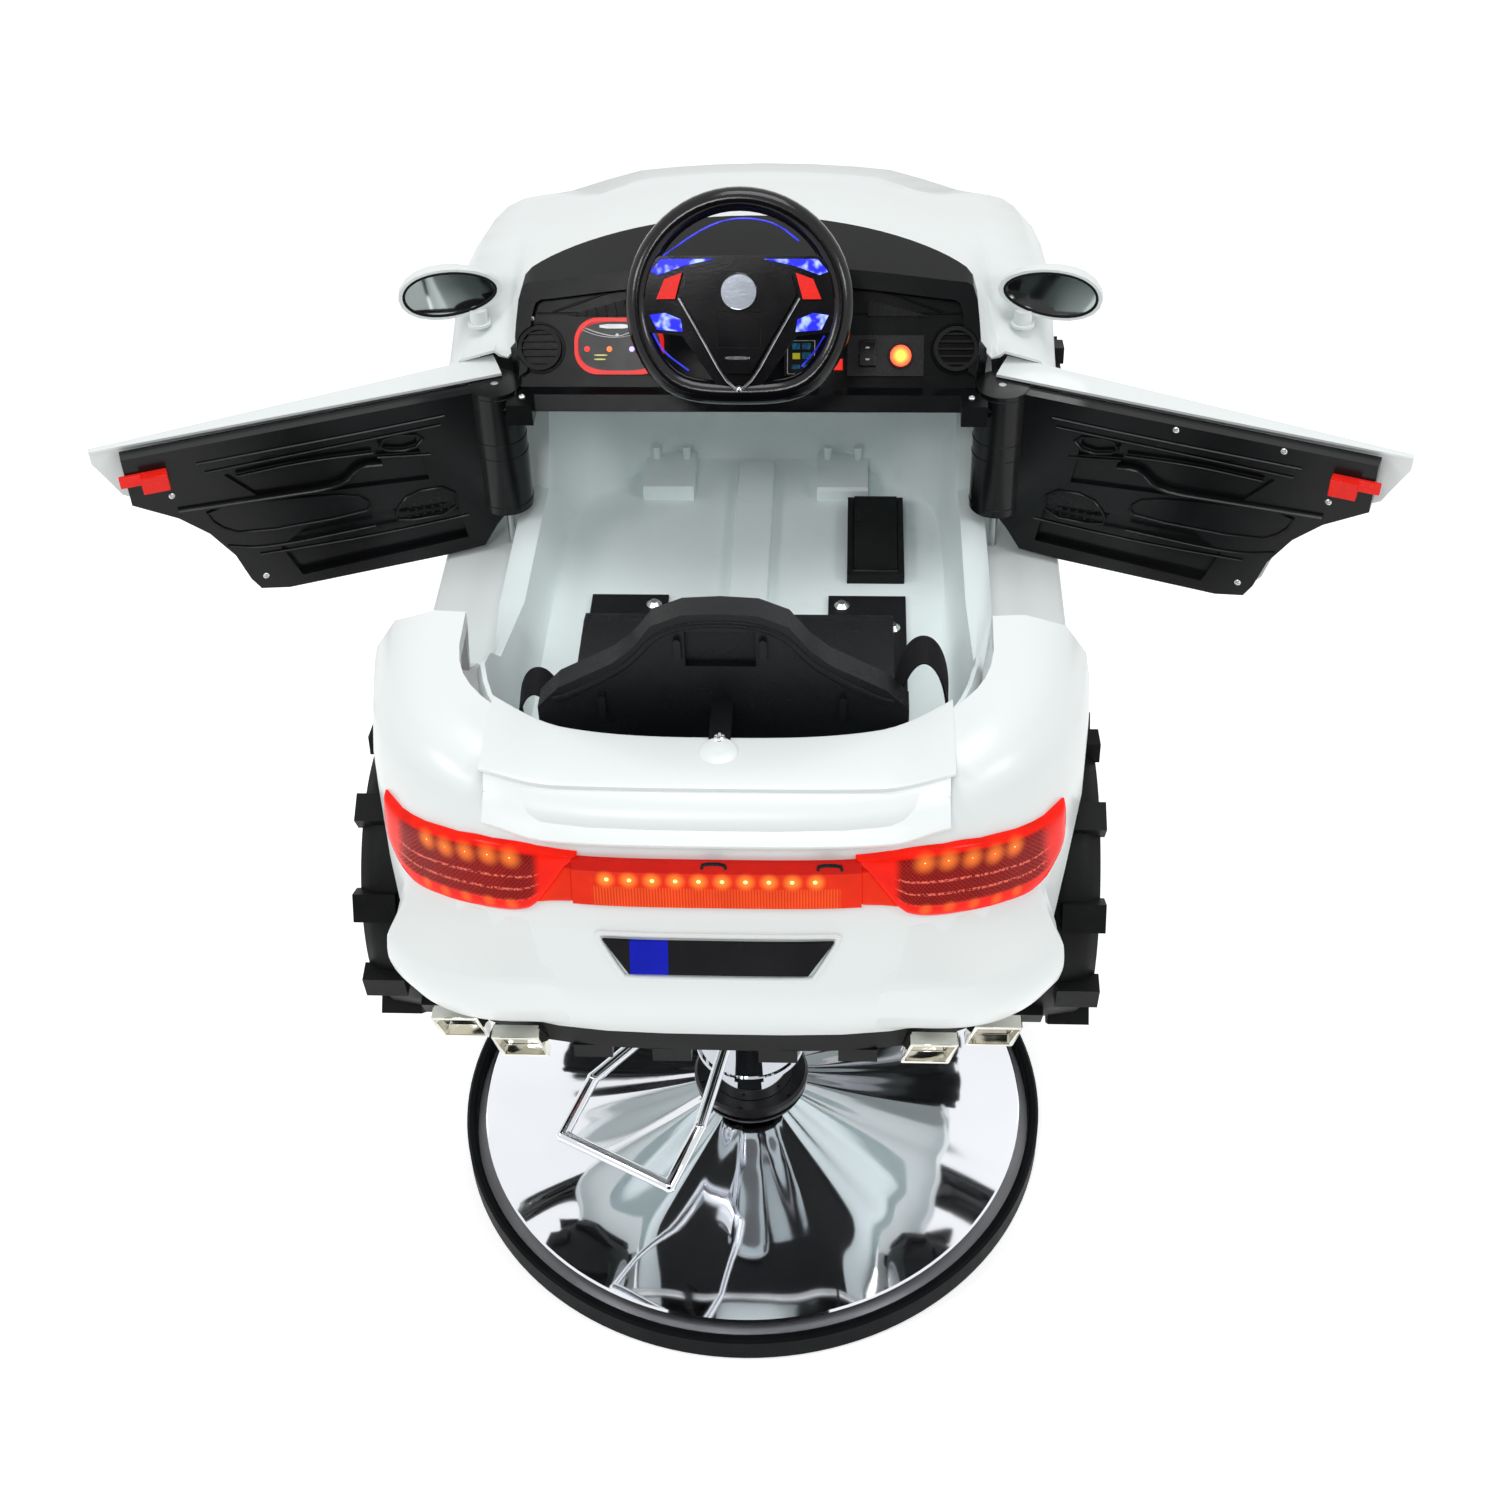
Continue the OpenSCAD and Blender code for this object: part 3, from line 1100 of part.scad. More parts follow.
module start_button() color([0.95, 0.35, 0.05]) on_fascia(start_x, start_s) {
  translate([0, 0, button_travel + 2 * seat_gap]) cylinder(r = start_d / 2, h = media_t);
  translate([0, 0, -fascia_t / 2]) cylinder(r = start_d / 2 * stem_share, h = fascia_t);
}
rocker_h = 5;
rocker_shares = [[-0.5, 0.3], [-0.25, -0.5], [0.25, -0.5], [0.5, 0.3], [0.5, 1], [0, 0.6], [-0.5, 1]];
module rocker() color([0.1, 0.1, 0.1]) at_rocker() translate([0, 0, -rocker_w / 2]) linear_extrude(rocker_w)
  difference() {
    polygon([for (q = rocker_shares) [q[0] * rocker_l, q[1] * rocker_h]]);
    circle(d = rocker_axle_d + 2 * run_gap);
  }

// Steering wheel
rim_mid = (steer_d - rim_d) / 2;
// The rim's path: a circle that a flat side cuts at the bottom, with a soft corner between them
flat_y_share = 0.857;
corner_soft = 12;
rim_steps = 60;
rim_sides = 12;
function rim_path(a) = let (flat = sin(a) < 0 ? pow(-sin(a) / flat_y_share, corner_soft) : 0)
  rim_mid * pow(1 + flat, -1 / corner_soft) * [cos(a), sin(a), 0];
hub_t = 15;
pad_t = 22;
hub_shares = [[-0.97, 0.1], [-0.9, 0.34], [-0.78, 0.46], [0.78, 0.46], [0.9, 0.34], [0.97, 0.1],
  [0.93, -0.26], [0.56, -0.3], [0.14, -0.88], [-0.14, -0.88], [-0.56, -0.3], [-0.93, -0.26]];
pad_shares = [[-0.5, 0.3], [0.5, 0.3], [0.56, 0.1], [0.12, -0.66], [-0.12, -0.66], [-0.56, 0.1]];
paddle_shares = [[0.55, 0.3], [0.72, 0.24], [0.8, 0.05], [0.62, 0.05]];
badge_d = 34;
badge_y_share = 0.12;
stem_shares = [0.68, 0.15];
keypad_shares = [0.21, -0.41, -0.07];
neck_share = 2.4;
module shares_shape(list) polygon([for (q = list) rim_mid * q]);
module steering_wheel() color([0.05, 0.05, 0.06]) on_column(0) difference() {
  union() {
    ring_tube([for (i = [0:rim_steps - 1]) let (a = 360 * i / rim_steps, p = rim_path(a),
    n = unit(cross(rim_path(a + 1) - rim_path(a - 1), [0, 0, 1])))
    [for (j = [0:rim_sides - 1]) let (b = 360 * j / rim_sides)
      p + rim_d / 2 * (cos(b) * n + [0, 0, sin(b)])]]);
    translate([0, 0, -hub_t / 2]) linear_extrude(hub_t) shares_shape(hub_shares);
    translate([0, 0, -hub_t / 2]) linear_extrude(pad_t) shares_shape(pad_shares);
    translate([0, rim_mid * badge_y_share, pad_t - hub_t / 2]) cylinder(d = badge_d, h = slat_t);
    translate([0, 0, -boss_at - 2 * boss_l]) cylinder(r = column_r, h = boss_at + 2 * boss_l);
    translate([0, 0, -2 * hub_t]) cylinder(r = neck_share * column_r, h = 2 * hub_t);
  }
  for (x = [-1, 1]) translate([x * rim_mid * stem_shares[0], rim_mid * stem_shares[1], -hub_t])
    cylinder(r = paddle_stem + run_gap, h = 2 * hub_t);
  box([-rim_mid * keypad_shares[0], rim_mid * keypad_shares[1], pad_t - hub_t / 2 - slat_t],
    [rim_mid * keypad_shares[0], rim_mid * keypad_shares[2], pad_t]);
}
paddle_stem = 4;
paddle_t = 5;
paddle_lift = button_travel + seat_gap;
module paddle() on_column(hub_t / 2) {
  translate([0, 0, paddle_lift]) linear_extrude(paddle_t) shares_shape(paddle_shares);
  translate([rim_mid * stem_shares[0], rim_mid * stem_shares[1], -hub_t / 2])
    cylinder(r = paddle_stem, h = hub_t / 2 + paddle_lift);
}
module button_right() color([0.9, 0.08, 0.03]) paddle();
module button_left() color([0.9, 0.08, 0.03]) mirror([1, 0, 0]) paddle();
window_shares = [[[0.24, 0.43], [0.76, 0.43], [0.86, 0.31], [0.78, 0.28], [0.52, 0.37]],
  [[0.57, -0.14], [0.72, -0.08], [0.87, -0.1], [0.8, -0.24], [0.55, -0.26]]];
module wheel_lights() color([0.15, 0.25, 0.95]) on_column(hub_t / 2 + seat_gap) mirror_pair()
  for (w = window_shares) linear_extrude(slat_t) shares_shape(w);

// Seat, belts, mounting plates and pedals
seat_room = 64;
seat_back_y = tub_rear_y + seat_room;
seat_back_t = 24;
seat_pan_y = 52;
seat_pan_t = 40;
seat_foot_in = 37;
seat_foot_half = seat_half_w - seat_foot_in;
shield_shares = [[0, 1], [0.2, 0.985], [0.36, 0.9], [0.47, 0.72], [0.58, 0.6], [0.88, 0.4], [1, 0.24], [1, 0],
  [0, 0]];
shield_drop = 34;
shield_low = deck_z - shield_drop;
module shield(o) translate([0, seat_back_y, 0]) rotate([90, 0, 0]) linear_extrude(o)
  polygon(both_sides([for (q = shield_shares) if (q[0] > 0 || q[1] > 0.5)
    [max(q[0] * seat_half_w, 0), shield_low + (seat_top_z - shield_low) * q[1]]]));
tab_w = 18;
tab_l = 6;
tab_t = 4;
rib_w = 6;
rib_l = 24;
rib_edge = 2;
rib_t = 4;
rib_side_in = 55;
rib_x = 35;
rib_rise = 1;
rib_drop = 36;
// Ribs on the seat's back: [place beside the middle, height]
ribs_at = [[seat_half_w - rib_side_in, deck_z + rib_rise], [rib_x, seat_top_z - rib_drop]];
handle_half = 29;
handle_drop = [54, 18];
handle_z = [for (d = handle_drop) seat_top_z - d];
handle_deep = 6;
module rib_shape() polygon([for (q = [[1, 1], [-1, 1], [-1, -1], [1, -1]])
  for (e = q[0] * q[1] > 0 ? [1, 0] : [0, 1])
    [q[0] * (rib_w / 2 - rib_edge * (1 - e)), q[1] * (rib_l / 2 - rib_edge * e)]]);
module seat() color([0.05, 0.05, 0.05]) difference() {
  union() {
    shield(seat_back_t);
    box([-seat_half_w, seat_back_y - seat_back_t, seat_z], [seat_half_w, seat_back_y, shield_low]);
    translate([-seat_half_w + tab_w / 2, 0, 0]) rotate([90, 0, 90])
    linear_extrude(2 * seat_half_w - tab_w) polygon([[seat_back_y - seat_back_t, seat_z - seat_pan_t],
      [seat_pan_y - seat_pan_t / 2, seat_z - seat_pan_t], [seat_pan_y, seat_z - seat_pan_t / 2],
      [seat_pan_y - tab_t, seat_z - tab_t],
      [seat_pan_y - seat_pan_t / 2, seat_z], [-seat_pan_y, seat_z - tab_t],
      [seat_back_y + seat_pan_t / 2, seat_z], [seat_back_y, seat_z + seat_pan_t / 2],
      [seat_back_y - seat_back_t, seat_z + seat_pan_t / 2]]);
    box([-tab_w / 2, rim_jamb_y - rim_depth - tab_l / 2, deck_z + seat_gap],
    [tab_w / 2, seat_back_y - tab_t, deck_z + seat_gap + tab_t]);
    translate([0, rim_jamb_y - rim_depth - tab_l / 2, deck_z + seat_gap]) cylinder(d = tab_w, h = tab_t);
    box([-seat_foot_half, seat_back_y - tab_t, floor_z + seat_gap],
    [seat_foot_half, seat_pan_y - seat_pan_t / 2, seat_z - seat_pan_t]);
    mirror_pair() for (q = ribs_at) translate([q[0], seat_back_y - seat_back_t + cut_over, q[1]])
    rotate([90, 0, 0]) linear_extrude(rib_t + cut_over) rib_shape();
  }
  box([-seat_foot_half + tab_t, seat_back_y + tab_t, floor_z],
    [seat_foot_half - tab_t, seat_pan_y - seat_pan_t / 2 - tab_t, seat_z - seat_pan_t + tab_t]);
  box([-handle_half, seat_back_y - seat_back_t - cut_over, handle_z[0]],
    [handle_half, seat_back_y - seat_back_t + handle_deep, handle_z[1]]);
}

plate_w = 80;
plate_in = 42;
plate_x = [floor_half_w - plate_in - plate_w, floor_half_w - plate_in];
plate_y = [58, 211];
steel_t = 4;
// Bolts: [way in from the plate's inner edge, way back from its front edge]
bolts_in = [[14, 19], [66, 55]];
bolt_d = 16;
bolt_head_h = 6;
bolt_crown_shares = [0.94, 0.5];
module mount_plates() color([0.06, 0.06, 0.06]) mirror_pair()
  box([plate_x[0], plate_y[0], floor_z + seat_gap], [plate_x[1], plate_y[1], floor_z + seat_gap + steel_t]);
module plate_bolts() color([0.75, 0.76, 0.78]) mirror_pair() for (b = bolts_in)
  translate([plate_x[0] + b[0], plate_y[1] - b[1], floor_z + seat_gap + steel_t]) {
    cylinder(d = bolt_d, h = bolt_head_h / 3);
    translate([0, 0, bolt_head_h / 3])
    cylinder(d1 = bolt_d * bolt_crown_shares[0], d2 = bolt_d * bolt_crown_shares[1],
      h = bolt_head_h * 2 / 3);
  }

pedal_w = 60;
pedal_in = 43;
pedal_x = [floor_half_w - pedal_in - pedal_w, floor_half_w - pedal_in];
pedal_y = [237, 378];
pedal_wall = 6;
pedal_h = 12;
pedal_axle_d = 5;
pedal_gap = 1;
pedal_rise_share = 0.6;
module pedal_frame() color([0.06, 0.06, 0.06]) difference() {
  box([pedal_x[0], pedal_y[0], floor_z + seat_gap], [pedal_x[1], pedal_y[1], floor_z + pedal_h]);
  box([pedal_x[0] + pedal_wall, pedal_y[0] + pedal_wall, floor_z + slat_t],
    [pedal_x[1] - pedal_wall, pedal_y[1] - pedal_wall, floor_z + 2 * pedal_h]);
  translate([pedal_x[0] + cut_over, pedal_y[0] + 2 * pedal_wall, floor_z + pedal_h / 2 + seat_gap])
    rotate([0, 90, 0])
    cylinder(d = pedal_axle_d + 2 * run_gap, h = pedal_x[1] - pedal_x[0] - 2 * cut_over);
}
module pedal() color([0.08, 0.08, 0.08]) {
  z = floor_z + pedal_h / 2 + seat_gap;
  y = pedal_y[0] + 2 * pedal_wall;
  translate([pedal_x[0] + 2 * cut_over, y, z]) rotate([0, 90, 0])
    cylinder(d = pedal_axle_d, h = pedal_x[1] - pedal_x[0] - 4 * cut_over);
  translate([pedal_x[0] + pedal_wall + pedal_gap, 0, 0]) rotate([90, 0, 90])
    linear_extrude(pedal_x[1] - pedal_x[0] - 2 * pedal_wall - 2 * pedal_gap)
    polygon([[y - pedal_axle_d / 2, z], [y + pedal_axle_d, z - pedal_axle_d / 2],
      [pedal_y[1] - pedal_wall - pedal_gap, z + pedal_h * pedal_rise_share],
      [pedal_y[1] - pedal_wall - pedal_gap, z + pedal_h], [y, z + pedal_axle_d]]);
}

// Webbing belts: a flat ribbon that rises against the side of the seat, turns over and hangs down
belt_t = 1.8;
belt_ahead = 26;
belt_y = seat_back_y + belt_ahead;
belt_drop = 36;
belt_low_z = seat_z - belt_drop;
belt_steps = 16;
belt_run_share = 0.3;
belt_turn_share = 0.5;
belt_x = seat_half_w - tab_w / 2 + seat_gap;
// Routes: [width of the turn, height above the seat where it starts, rise of the turn, height where it ends]
belt_right_turn = [42, 48, 62, 16];
belt_left_turn = [34, 26, 46, 6];
function belt_mid(r, t) = let (u = t - belt_run_share, a = 180 * clamp01(u / belt_turn_share),
    low = seat_z + r[1], end = seat_z + r[3], last = 1 - belt_run_share - belt_turn_share)
  u < 0 ? [belt_x, belt_y, lerp(belt_low_z, low, t / belt_run_share)]
    : a < 180 ? [belt_x + r[0] * (1 - cos(a)) / 2, belt_y, low + r[2] * sin(a)]
    : [belt_x + r[0], belt_y, lerp(low, end, (u - belt_turn_share) / last)];
module belt(r) skin([for (i = [0:belt_steps]) let (p = belt_mid(r, i / belt_steps))
  [for (w = [-1, 1]) p + [0, w * belt_w / 2, 0]]], 0, -belt_t);
module belt_right() color([0.04, 0.04, 0.045]) belt(belt_right_turn);
module belt_left() color([0.04, 0.04, 0.045]) mirror([1, 0, 0]) belt(belt_left_turn);

// Doors: outer skin, inner panel with the hinge barrel, and the latch
panel_in = 9;
panel_out = 8;
door_front_t = 46;
door_rear_t = 15;
door_tuck = 15;
barrel_low_z = 648;
barrel_drop = 5;
barrel_z = [barrel_low_z, door_top_z - barrel_drop];
door_tuck_share = 0.17;
door_tuck_pow = 1.7;
door_lip_share = 0.6;
barrel_gap = 0.8;
low_shares = [[-0.025, 0.29], [0.0, 0.25], [0.04, 0.14], [0.08, 0.035], [0.19, 0.02], [0.4, 0.02],
  [0.6, 0.025], [0.67, 0.05], [0.7, 0.12], [0.725, 0.3], [0.775, 0.45], [0.838, 0.57], [0.948, 0.71],
  [0.975, 0.82], [1, 0.915]];
door_row_shares = [0, 0.2, 0.45, 0.72, 0.93];
module at_hinge() translate([hinge_x, hinge_y, 0]) rotate([0, 0, door_open - 90]) children();
function door_n(s, z) = lerp(door_front_t, door_rear_t, s / door_l)
  - door_tuck * pow(clamp01(1 - (z - sill_z) / (door_l * door_tuck_share)), door_tuck_pow);
door_grid = [for (i = [len(low_shares) - 1:-1:0]) let (q = low_shares[i], s = q[0] * door_l,
    z0 = sill_z + (door_top_z - sill_z) * q[1], n1 = door_n(s, door_top_z))
  concat([for (k = door_row_shares) let (z = lerp(z0, door_top_z, k)) [s, door_n(s, z), z]],
    [[s, n1 - skin_t / 2, door_top_z], [s, lerp(n1, panel_out + skin_t, door_lip_share), door_top_z],
    [s, panel_out + 3 * seat_gap, door_top_z - skin_t / 3]])];
module door_skin() at_hinge() skin(door_grid, 0, -skin_t);
module door_right() color(body_tone) door_skin();
module door_left() color(body_tone) mirror([1, 0, 0]) door_skin();

panel_shares = [[-0.026, 0.97], [-0.026, 0.75], [-0.01, 0.27], [0.04, 0.16], [0.08, 0.045], [0.19, 0.035],
  [0.6, 0.04],
  [0.67, 0.07], [0.69, 0.14], [0.715, 0.3], [0.765, 0.46], [0.83, 0.585], [0.93, 0.71], [0.93, 0.97]];
pocket_shares = [[0.12, 0.12], [0.56, 0.1], [0.6, 0.3], [0.5, 0.42], [0.14, 0.36]];
grip_shares = [[0.2, 0.52], [0.62, 0.6], [0.7, 0.78], [0.6, 0.84], [0.22, 0.8]];
function door_points(list) = [for (q = list) [q[0] * door_l, sill_z + (door_top_z - sill_z) * q[1]]];
module door_sheet(list, from, t) rotate([90, 0, 0]) translate([0, 0, -from - t]) linear_extrude(t)
  polygon(door_points(list));
module panel_form() at_hinge() difference() {
  union() {
    door_sheet(panel_shares, -panel_in, panel_in + panel_out);
    translate([0, 0, barrel_z[0]]) cylinder(d = barrel_d, h = barrel_z[1] - barrel_z[0]);
  }
  translate([0, 0, sill_z]) cylinder(d = hinge_pin_d + 2 * run_gap, h = door_l);
  door_sheet(pocket_shares, -panel_in - cut_over, panel_in + cut_over);
  door_sheet(grip_shares, -panel_in - cut_over, panel_in / 2 + cut_over);
}
module panel_right() color([0.06, 0.06, 0.065]) panel_form();
module panel_left() color([0.06, 0.06, 0.065]) mirror([1, 0, 0]) panel_form();
latch_s = [0.83, 0.945];
latch_z = 762;
latch_h = 12;
latch_t = 4;
latch_grip_l = 26;
latch_grip_t = 9;
module latch() at_hinge() {
  box([latch_s[0] * door_l, -panel_in - seat_gap - latch_t, latch_z],
    [latch_s[1] * door_l, -panel_in - seat_gap, latch_z + latch_h]);
  box([latch_s[0] * door_l, -panel_in - latch_t - latch_grip_t, latch_z - latch_h / 2],
    [latch_s[0] * door_l + latch_grip_l, -panel_in - seat_gap, latch_z + latch_h]);
}
module latch_right() color([0.85, 0.08, 0.04]) latch();
module latch_left() color([0.85, 0.08, 0.04]) mirror([1, 0, 0]) latch();
module hinge_pins() color([0.6, 0.6, 0.62]) mirror_pair()
  translate([hinge_x, hinge_y, sill_z + seat_gap])
    cylinder(d = hinge_pin_d, h = door_top_z - sill_z - 2 * skin_t);

// Mirrors: an egg shell with a glass face on a foot on the fender
mirror_in = 17;
mirror_ahead = 65;
mirror_low = 34;
mirror_at = [body_half_w - mirror_in, hinge_y + mirror_ahead, hood_z - mirror_low];
mirror_half = [53, 34, 28];
mirror_rings = 7;
mirror_sides = 20;
mirror_turn = 14;
foot_in = 48;
foot_ahead = 72;
foot_at = [body_half_w - foot_in, hinge_y + foot_ahead];
foot_rad = 9;
foot_lift = 5;
foot_z = hood(foot_at[0], foot_at[1]) + foot_lift;
foot_top_share = 0.75;
shell_cut = 95;
glass_cut = 88;
egg_share = 0.12;
hollow_shares = [0.9, 0.86];
glass_shares = [0.88, 0.84];
function egg(u, k) = let (a = 360 * k / mirror_sides, r = sin(u), b = cos(u))
  [mirror_half[0] * r * cos(a) * (1 - egg_share * cos(a)), mirror_half[1] * b, mirror_half[2] * r * sin(a)];
module mirror_shell() {
  n = mirror_sides;
  rows = mirror_rings;
  pts = concat([[0, mirror_half[1], 0]],
    [for (j = [1:rows]) for (k = [0:n - 1]) egg(shell_cut * j / rows, k)],
    [for (j = [rows:-1:1]) for (k = [0:n - 1]) let (q = egg(shell_cut * j / rows, k))
    [q[0] * hollow_shares[0], q[1] * hollow_shares[1], q[2] * hollow_shares[1]]],
    [[0, mirror_half[1] * hollow_shares[1], 0]]);
  last = len(pts) - 1;
  translate(mirror_at) rotate([0, 0, -mirror_turn]) polyhedron(pts, concat(
    [for (k = [0:n - 1]) [0, 1 + k, 1 + (k + 1) % n]],
    [for (j = [0:2 * rows - 2]) for (k = [0:n - 1]) let (a = 1 + j * n + k, b = 1 + j * n + (k + 1) % n)
    for (f = [[a, a + n, b + n], [a, b + n, b]]) f],
    [for (k = [0:n - 1]) [last, 1 + (2 * rows - 1) * n + (k + 1) % n, 1 + (2 * rows - 1) * n + k]]));
}
module mirror_form() {
  mirror_shell();
  translate([foot_at[0], foot_at[1], foot_z]) {
    cylinder(r = foot_rad, h = mirror_at[2] - foot_z - mirror_half[2] * foot_top_share);
    cylinder(r = foot_rad + skin_t, h = skin_t);
  }
}
module mirror_right() color(body_tone) mirror_form();
module mirror_left() color(body_tone) mirror([1, 0, 0]) mirror_form();
module mirror_glass() translate(mirror_at) rotate([0, 0, -mirror_turn]) rotate([90, 0, 0])
  linear_extrude(slat_t) polygon([for (k = [0:mirror_sides - 1]) let (q = egg(glass_cut, k))
    [q[0] * glass_shares[0], q[2] * glass_shares[1]]]);
module mirror_glass_right() color([0.5, 0.55, 0.58]) mirror_glass();
module mirror_glass_left() color([0.5, 0.55, 0.58]) mirror([1, 0, 0]) mirror_glass();

rubber_foot();
base_plate();
base_cover();
base_flange();
flange_screws();
outer_tube();
ram();
pump_head();
pump_shroud();
pump_lever();
subframe();
rear_axle();
tub();
front_shell();
rear_shell();
tail_lamps();
light_bar();
number_plate();
diffuser();
exhaust_tips();
headlamps();
grille();
mount_plates();
plate_bolts();
seat();
belt_left();
belt_right();
dash();
air_vents();
media_panel();
switch_panel();
hinge_pins();
pedal_frame();
pedal();
start_button();
rocker();
steering_wheel();
wheel_lights();
button_left();
button_right();
knuckle_left();
knuckle_right();
tyre_front_left();
rim_front_left();
tyre_front_right();
rim_front_right();
tyre_rear_left();
rim_rear_left();
tyre_rear_right();
rim_rear_right();
door_left();
panel_left();
latch_left();
door_right();
panel_right();
latch_right();
mirror_left();
mirror_glass_left();
mirror_right();
mirror_glass_right();
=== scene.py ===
"""Children's barber chair: a white toy car on a chromed hydraulic pump base, as the camera sees it."""

import math

import bpy
import bmesh
import numpy as np
from mathutils import Matrix


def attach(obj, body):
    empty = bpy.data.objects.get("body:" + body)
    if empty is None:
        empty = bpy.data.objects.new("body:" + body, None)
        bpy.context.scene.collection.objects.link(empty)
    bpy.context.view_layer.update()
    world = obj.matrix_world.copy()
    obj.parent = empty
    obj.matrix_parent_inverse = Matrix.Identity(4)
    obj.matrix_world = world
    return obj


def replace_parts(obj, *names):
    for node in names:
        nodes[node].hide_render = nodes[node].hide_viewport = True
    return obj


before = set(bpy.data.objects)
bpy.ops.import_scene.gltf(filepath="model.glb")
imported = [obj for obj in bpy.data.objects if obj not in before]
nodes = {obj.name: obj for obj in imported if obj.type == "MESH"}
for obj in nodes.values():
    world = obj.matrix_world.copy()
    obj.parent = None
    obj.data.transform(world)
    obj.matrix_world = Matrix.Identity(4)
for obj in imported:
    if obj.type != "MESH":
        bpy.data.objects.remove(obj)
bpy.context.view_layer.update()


# Camera: a standing viewer behind the car looks down over the tail at the dash.
# The lens and place are the ones that put the car's corners where the picture has them.
def unit(vectors):
    """The same directions at length 1."""
    return vectors / np.linalg.norm(vectors, axis=-1, keepdims=True)


def stand(thing, right, up, out, point):
    """Links a camera or lamp at the point, its own x, y and z along those three directions."""
    bpy.context.scene.collection.objects.link(thing)
    pose = np.eye(4)
    pose[:3, :4] = np.stack([right, up, out, point], 1)
    thing.matrix_world = Matrix(pose.tolist())


tilt, turn, lean = (math.radians(a) for a in (41.666, -3.56, -1.746))
ahead = np.array([math.sin(turn) * math.cos(tilt), math.cos(turn) * math.cos(tilt), -math.sin(tilt)])
level = unit(np.cross(ahead, (0.0, 0.0, 1.0)))
rise = np.cross(level, ahead)
across = math.cos(lean) * level + math.sin(lean) * rise
upward = math.cos(lean) * rise - math.sin(lean) * level
camera = bpy.data.objects.new("camera", bpy.data.cameras.new("camera"))
camera.data.lens, camera.data.sensor_width, camera.data.clip_end = 49.585, 36.0, 60.0
stand(camera, across, upward, -ahead, (0.10297, -1.5013, 1.894))
bpy.context.scene.camera = camera
bpy.context.scene.view_settings.view_transform = "Standard"


# Studio: a white sweep under large soft lamps, as for a cut-out catalogue picture.
# A dark board stands behind the camera, where only gloss and chrome find it.
class Wire:
    """One output in a tree of shader nodes. Operators add Math nodes, and node() adds any other."""

    def __init__(self, tree, socket=None):
        self.tree = tree
        self.socket = socket

    def node(self, kind, settings=None, sockets=None, out=0):
        """A node of that type: its settings first, then values or Wires for its sockets."""
        made = self.tree.nodes.new(kind)
        for key, value in (settings or {}).items():
            setattr(made, key, value)
        for key, value in (sockets or {}).items():
            if isinstance(value, Wire):
                self.tree.links.new(value.socket, made.inputs[key])
            else:
                made.inputs[key].default_value = value
        return Wire(self.tree, made.outputs[out] if made.outputs else None)

    def math(self, operation, *values):
        return self.node("ShaderNodeMath", {"operation": operation}, dict(enumerate(values)))

    def __add__(self, other):
        return self.math("ADD", self, other)

    def __radd__(self, other):
        return self.math("ADD", other, self)

    def __sub__(self, other):
        return self.math("SUBTRACT", self, other)

    def __rsub__(self, other):
        return self.math("SUBTRACT", other, self)

    def __mul__(self, other):
        return self.math("MULTIPLY", self, other)

    def __rmul__(self, other):
        return self.math("MULTIPLY", other, self)

    def __truediv__(self, other):
        return self.math("DIVIDE", self, other)

    def __pow__(self, other):
        return self.math("POWER", self, other)

    def alone(self, operation):
        """The Math node of that operation on this value by itself."""
        return self.math(operation, self)

    def size(self):
        return self.alone("ABSOLUTE")

    def wave(self):
        return self.alone("SINE")

    def vector(self, operation, sockets=None, out=0):
        """The Vector Math node of that operation on this vector."""
        return self.node("ShaderNodeVectorMath", {"operation": operation}, {0: self, **(sockets or {})}, out)

    def step(self, low, high):
        """0 below low, 1 above high, and a smooth rise between them."""
        values = {0: self, 1: low, 2: high}
        return self.node("ShaderNodeMapRange", {"interpolation_type": "SMOOTHSTEP"}, values)

    def mix(self, first, second):
        """The first colour where this mask is 0 and the second where it is 1."""
        ends = [c if isinstance(c, Wire) else (*c, 1.0) for c in (first, second)]
        return self.node("ShaderNodeMix", {"data_type": "RGBA"}, {0: self, 6: ends[0], 7: ends[1]}, 2)

    def parts(self):
        """The three numbers of a vector, as three Wires."""
        split = self.node("ShaderNodeSeparateXYZ", sockets={0: self}).socket.node
        return [Wire(self.tree, s) for s in split.outputs]


def lit_world(white, lamp_level):
    """World that is white to the camera, gloss and glass, and lamp_level to everything else."""
    world = bpy.data.worlds.new("studio")
    world.use_nodes = True
    tree = world.node_tree
    tree.nodes.clear()
    start = Wire(tree)
    path = start.node("ShaderNodeLightPath").socket.node
    seen = [Wire(tree, path.outputs[n]) for n in ("Is Camera Ray", "Is Glossy Ray", "Is Transmission Ray")]
    shown = (seen[0] + seen[1] + seen[2]).step(0.0, 1.0)
    level_wire = shown * (white - lamp_level) + lamp_level
    sky = start.node("ShaderNodeBackground", sockets={0: (1.0, 1.0, 1.0, 1.0), 1: level_wire})
    start.node("ShaderNodeOutputWorld", sockets={0: sky})
    return world


bpy.context.scene.world = lit_world(1.0, 0.5)


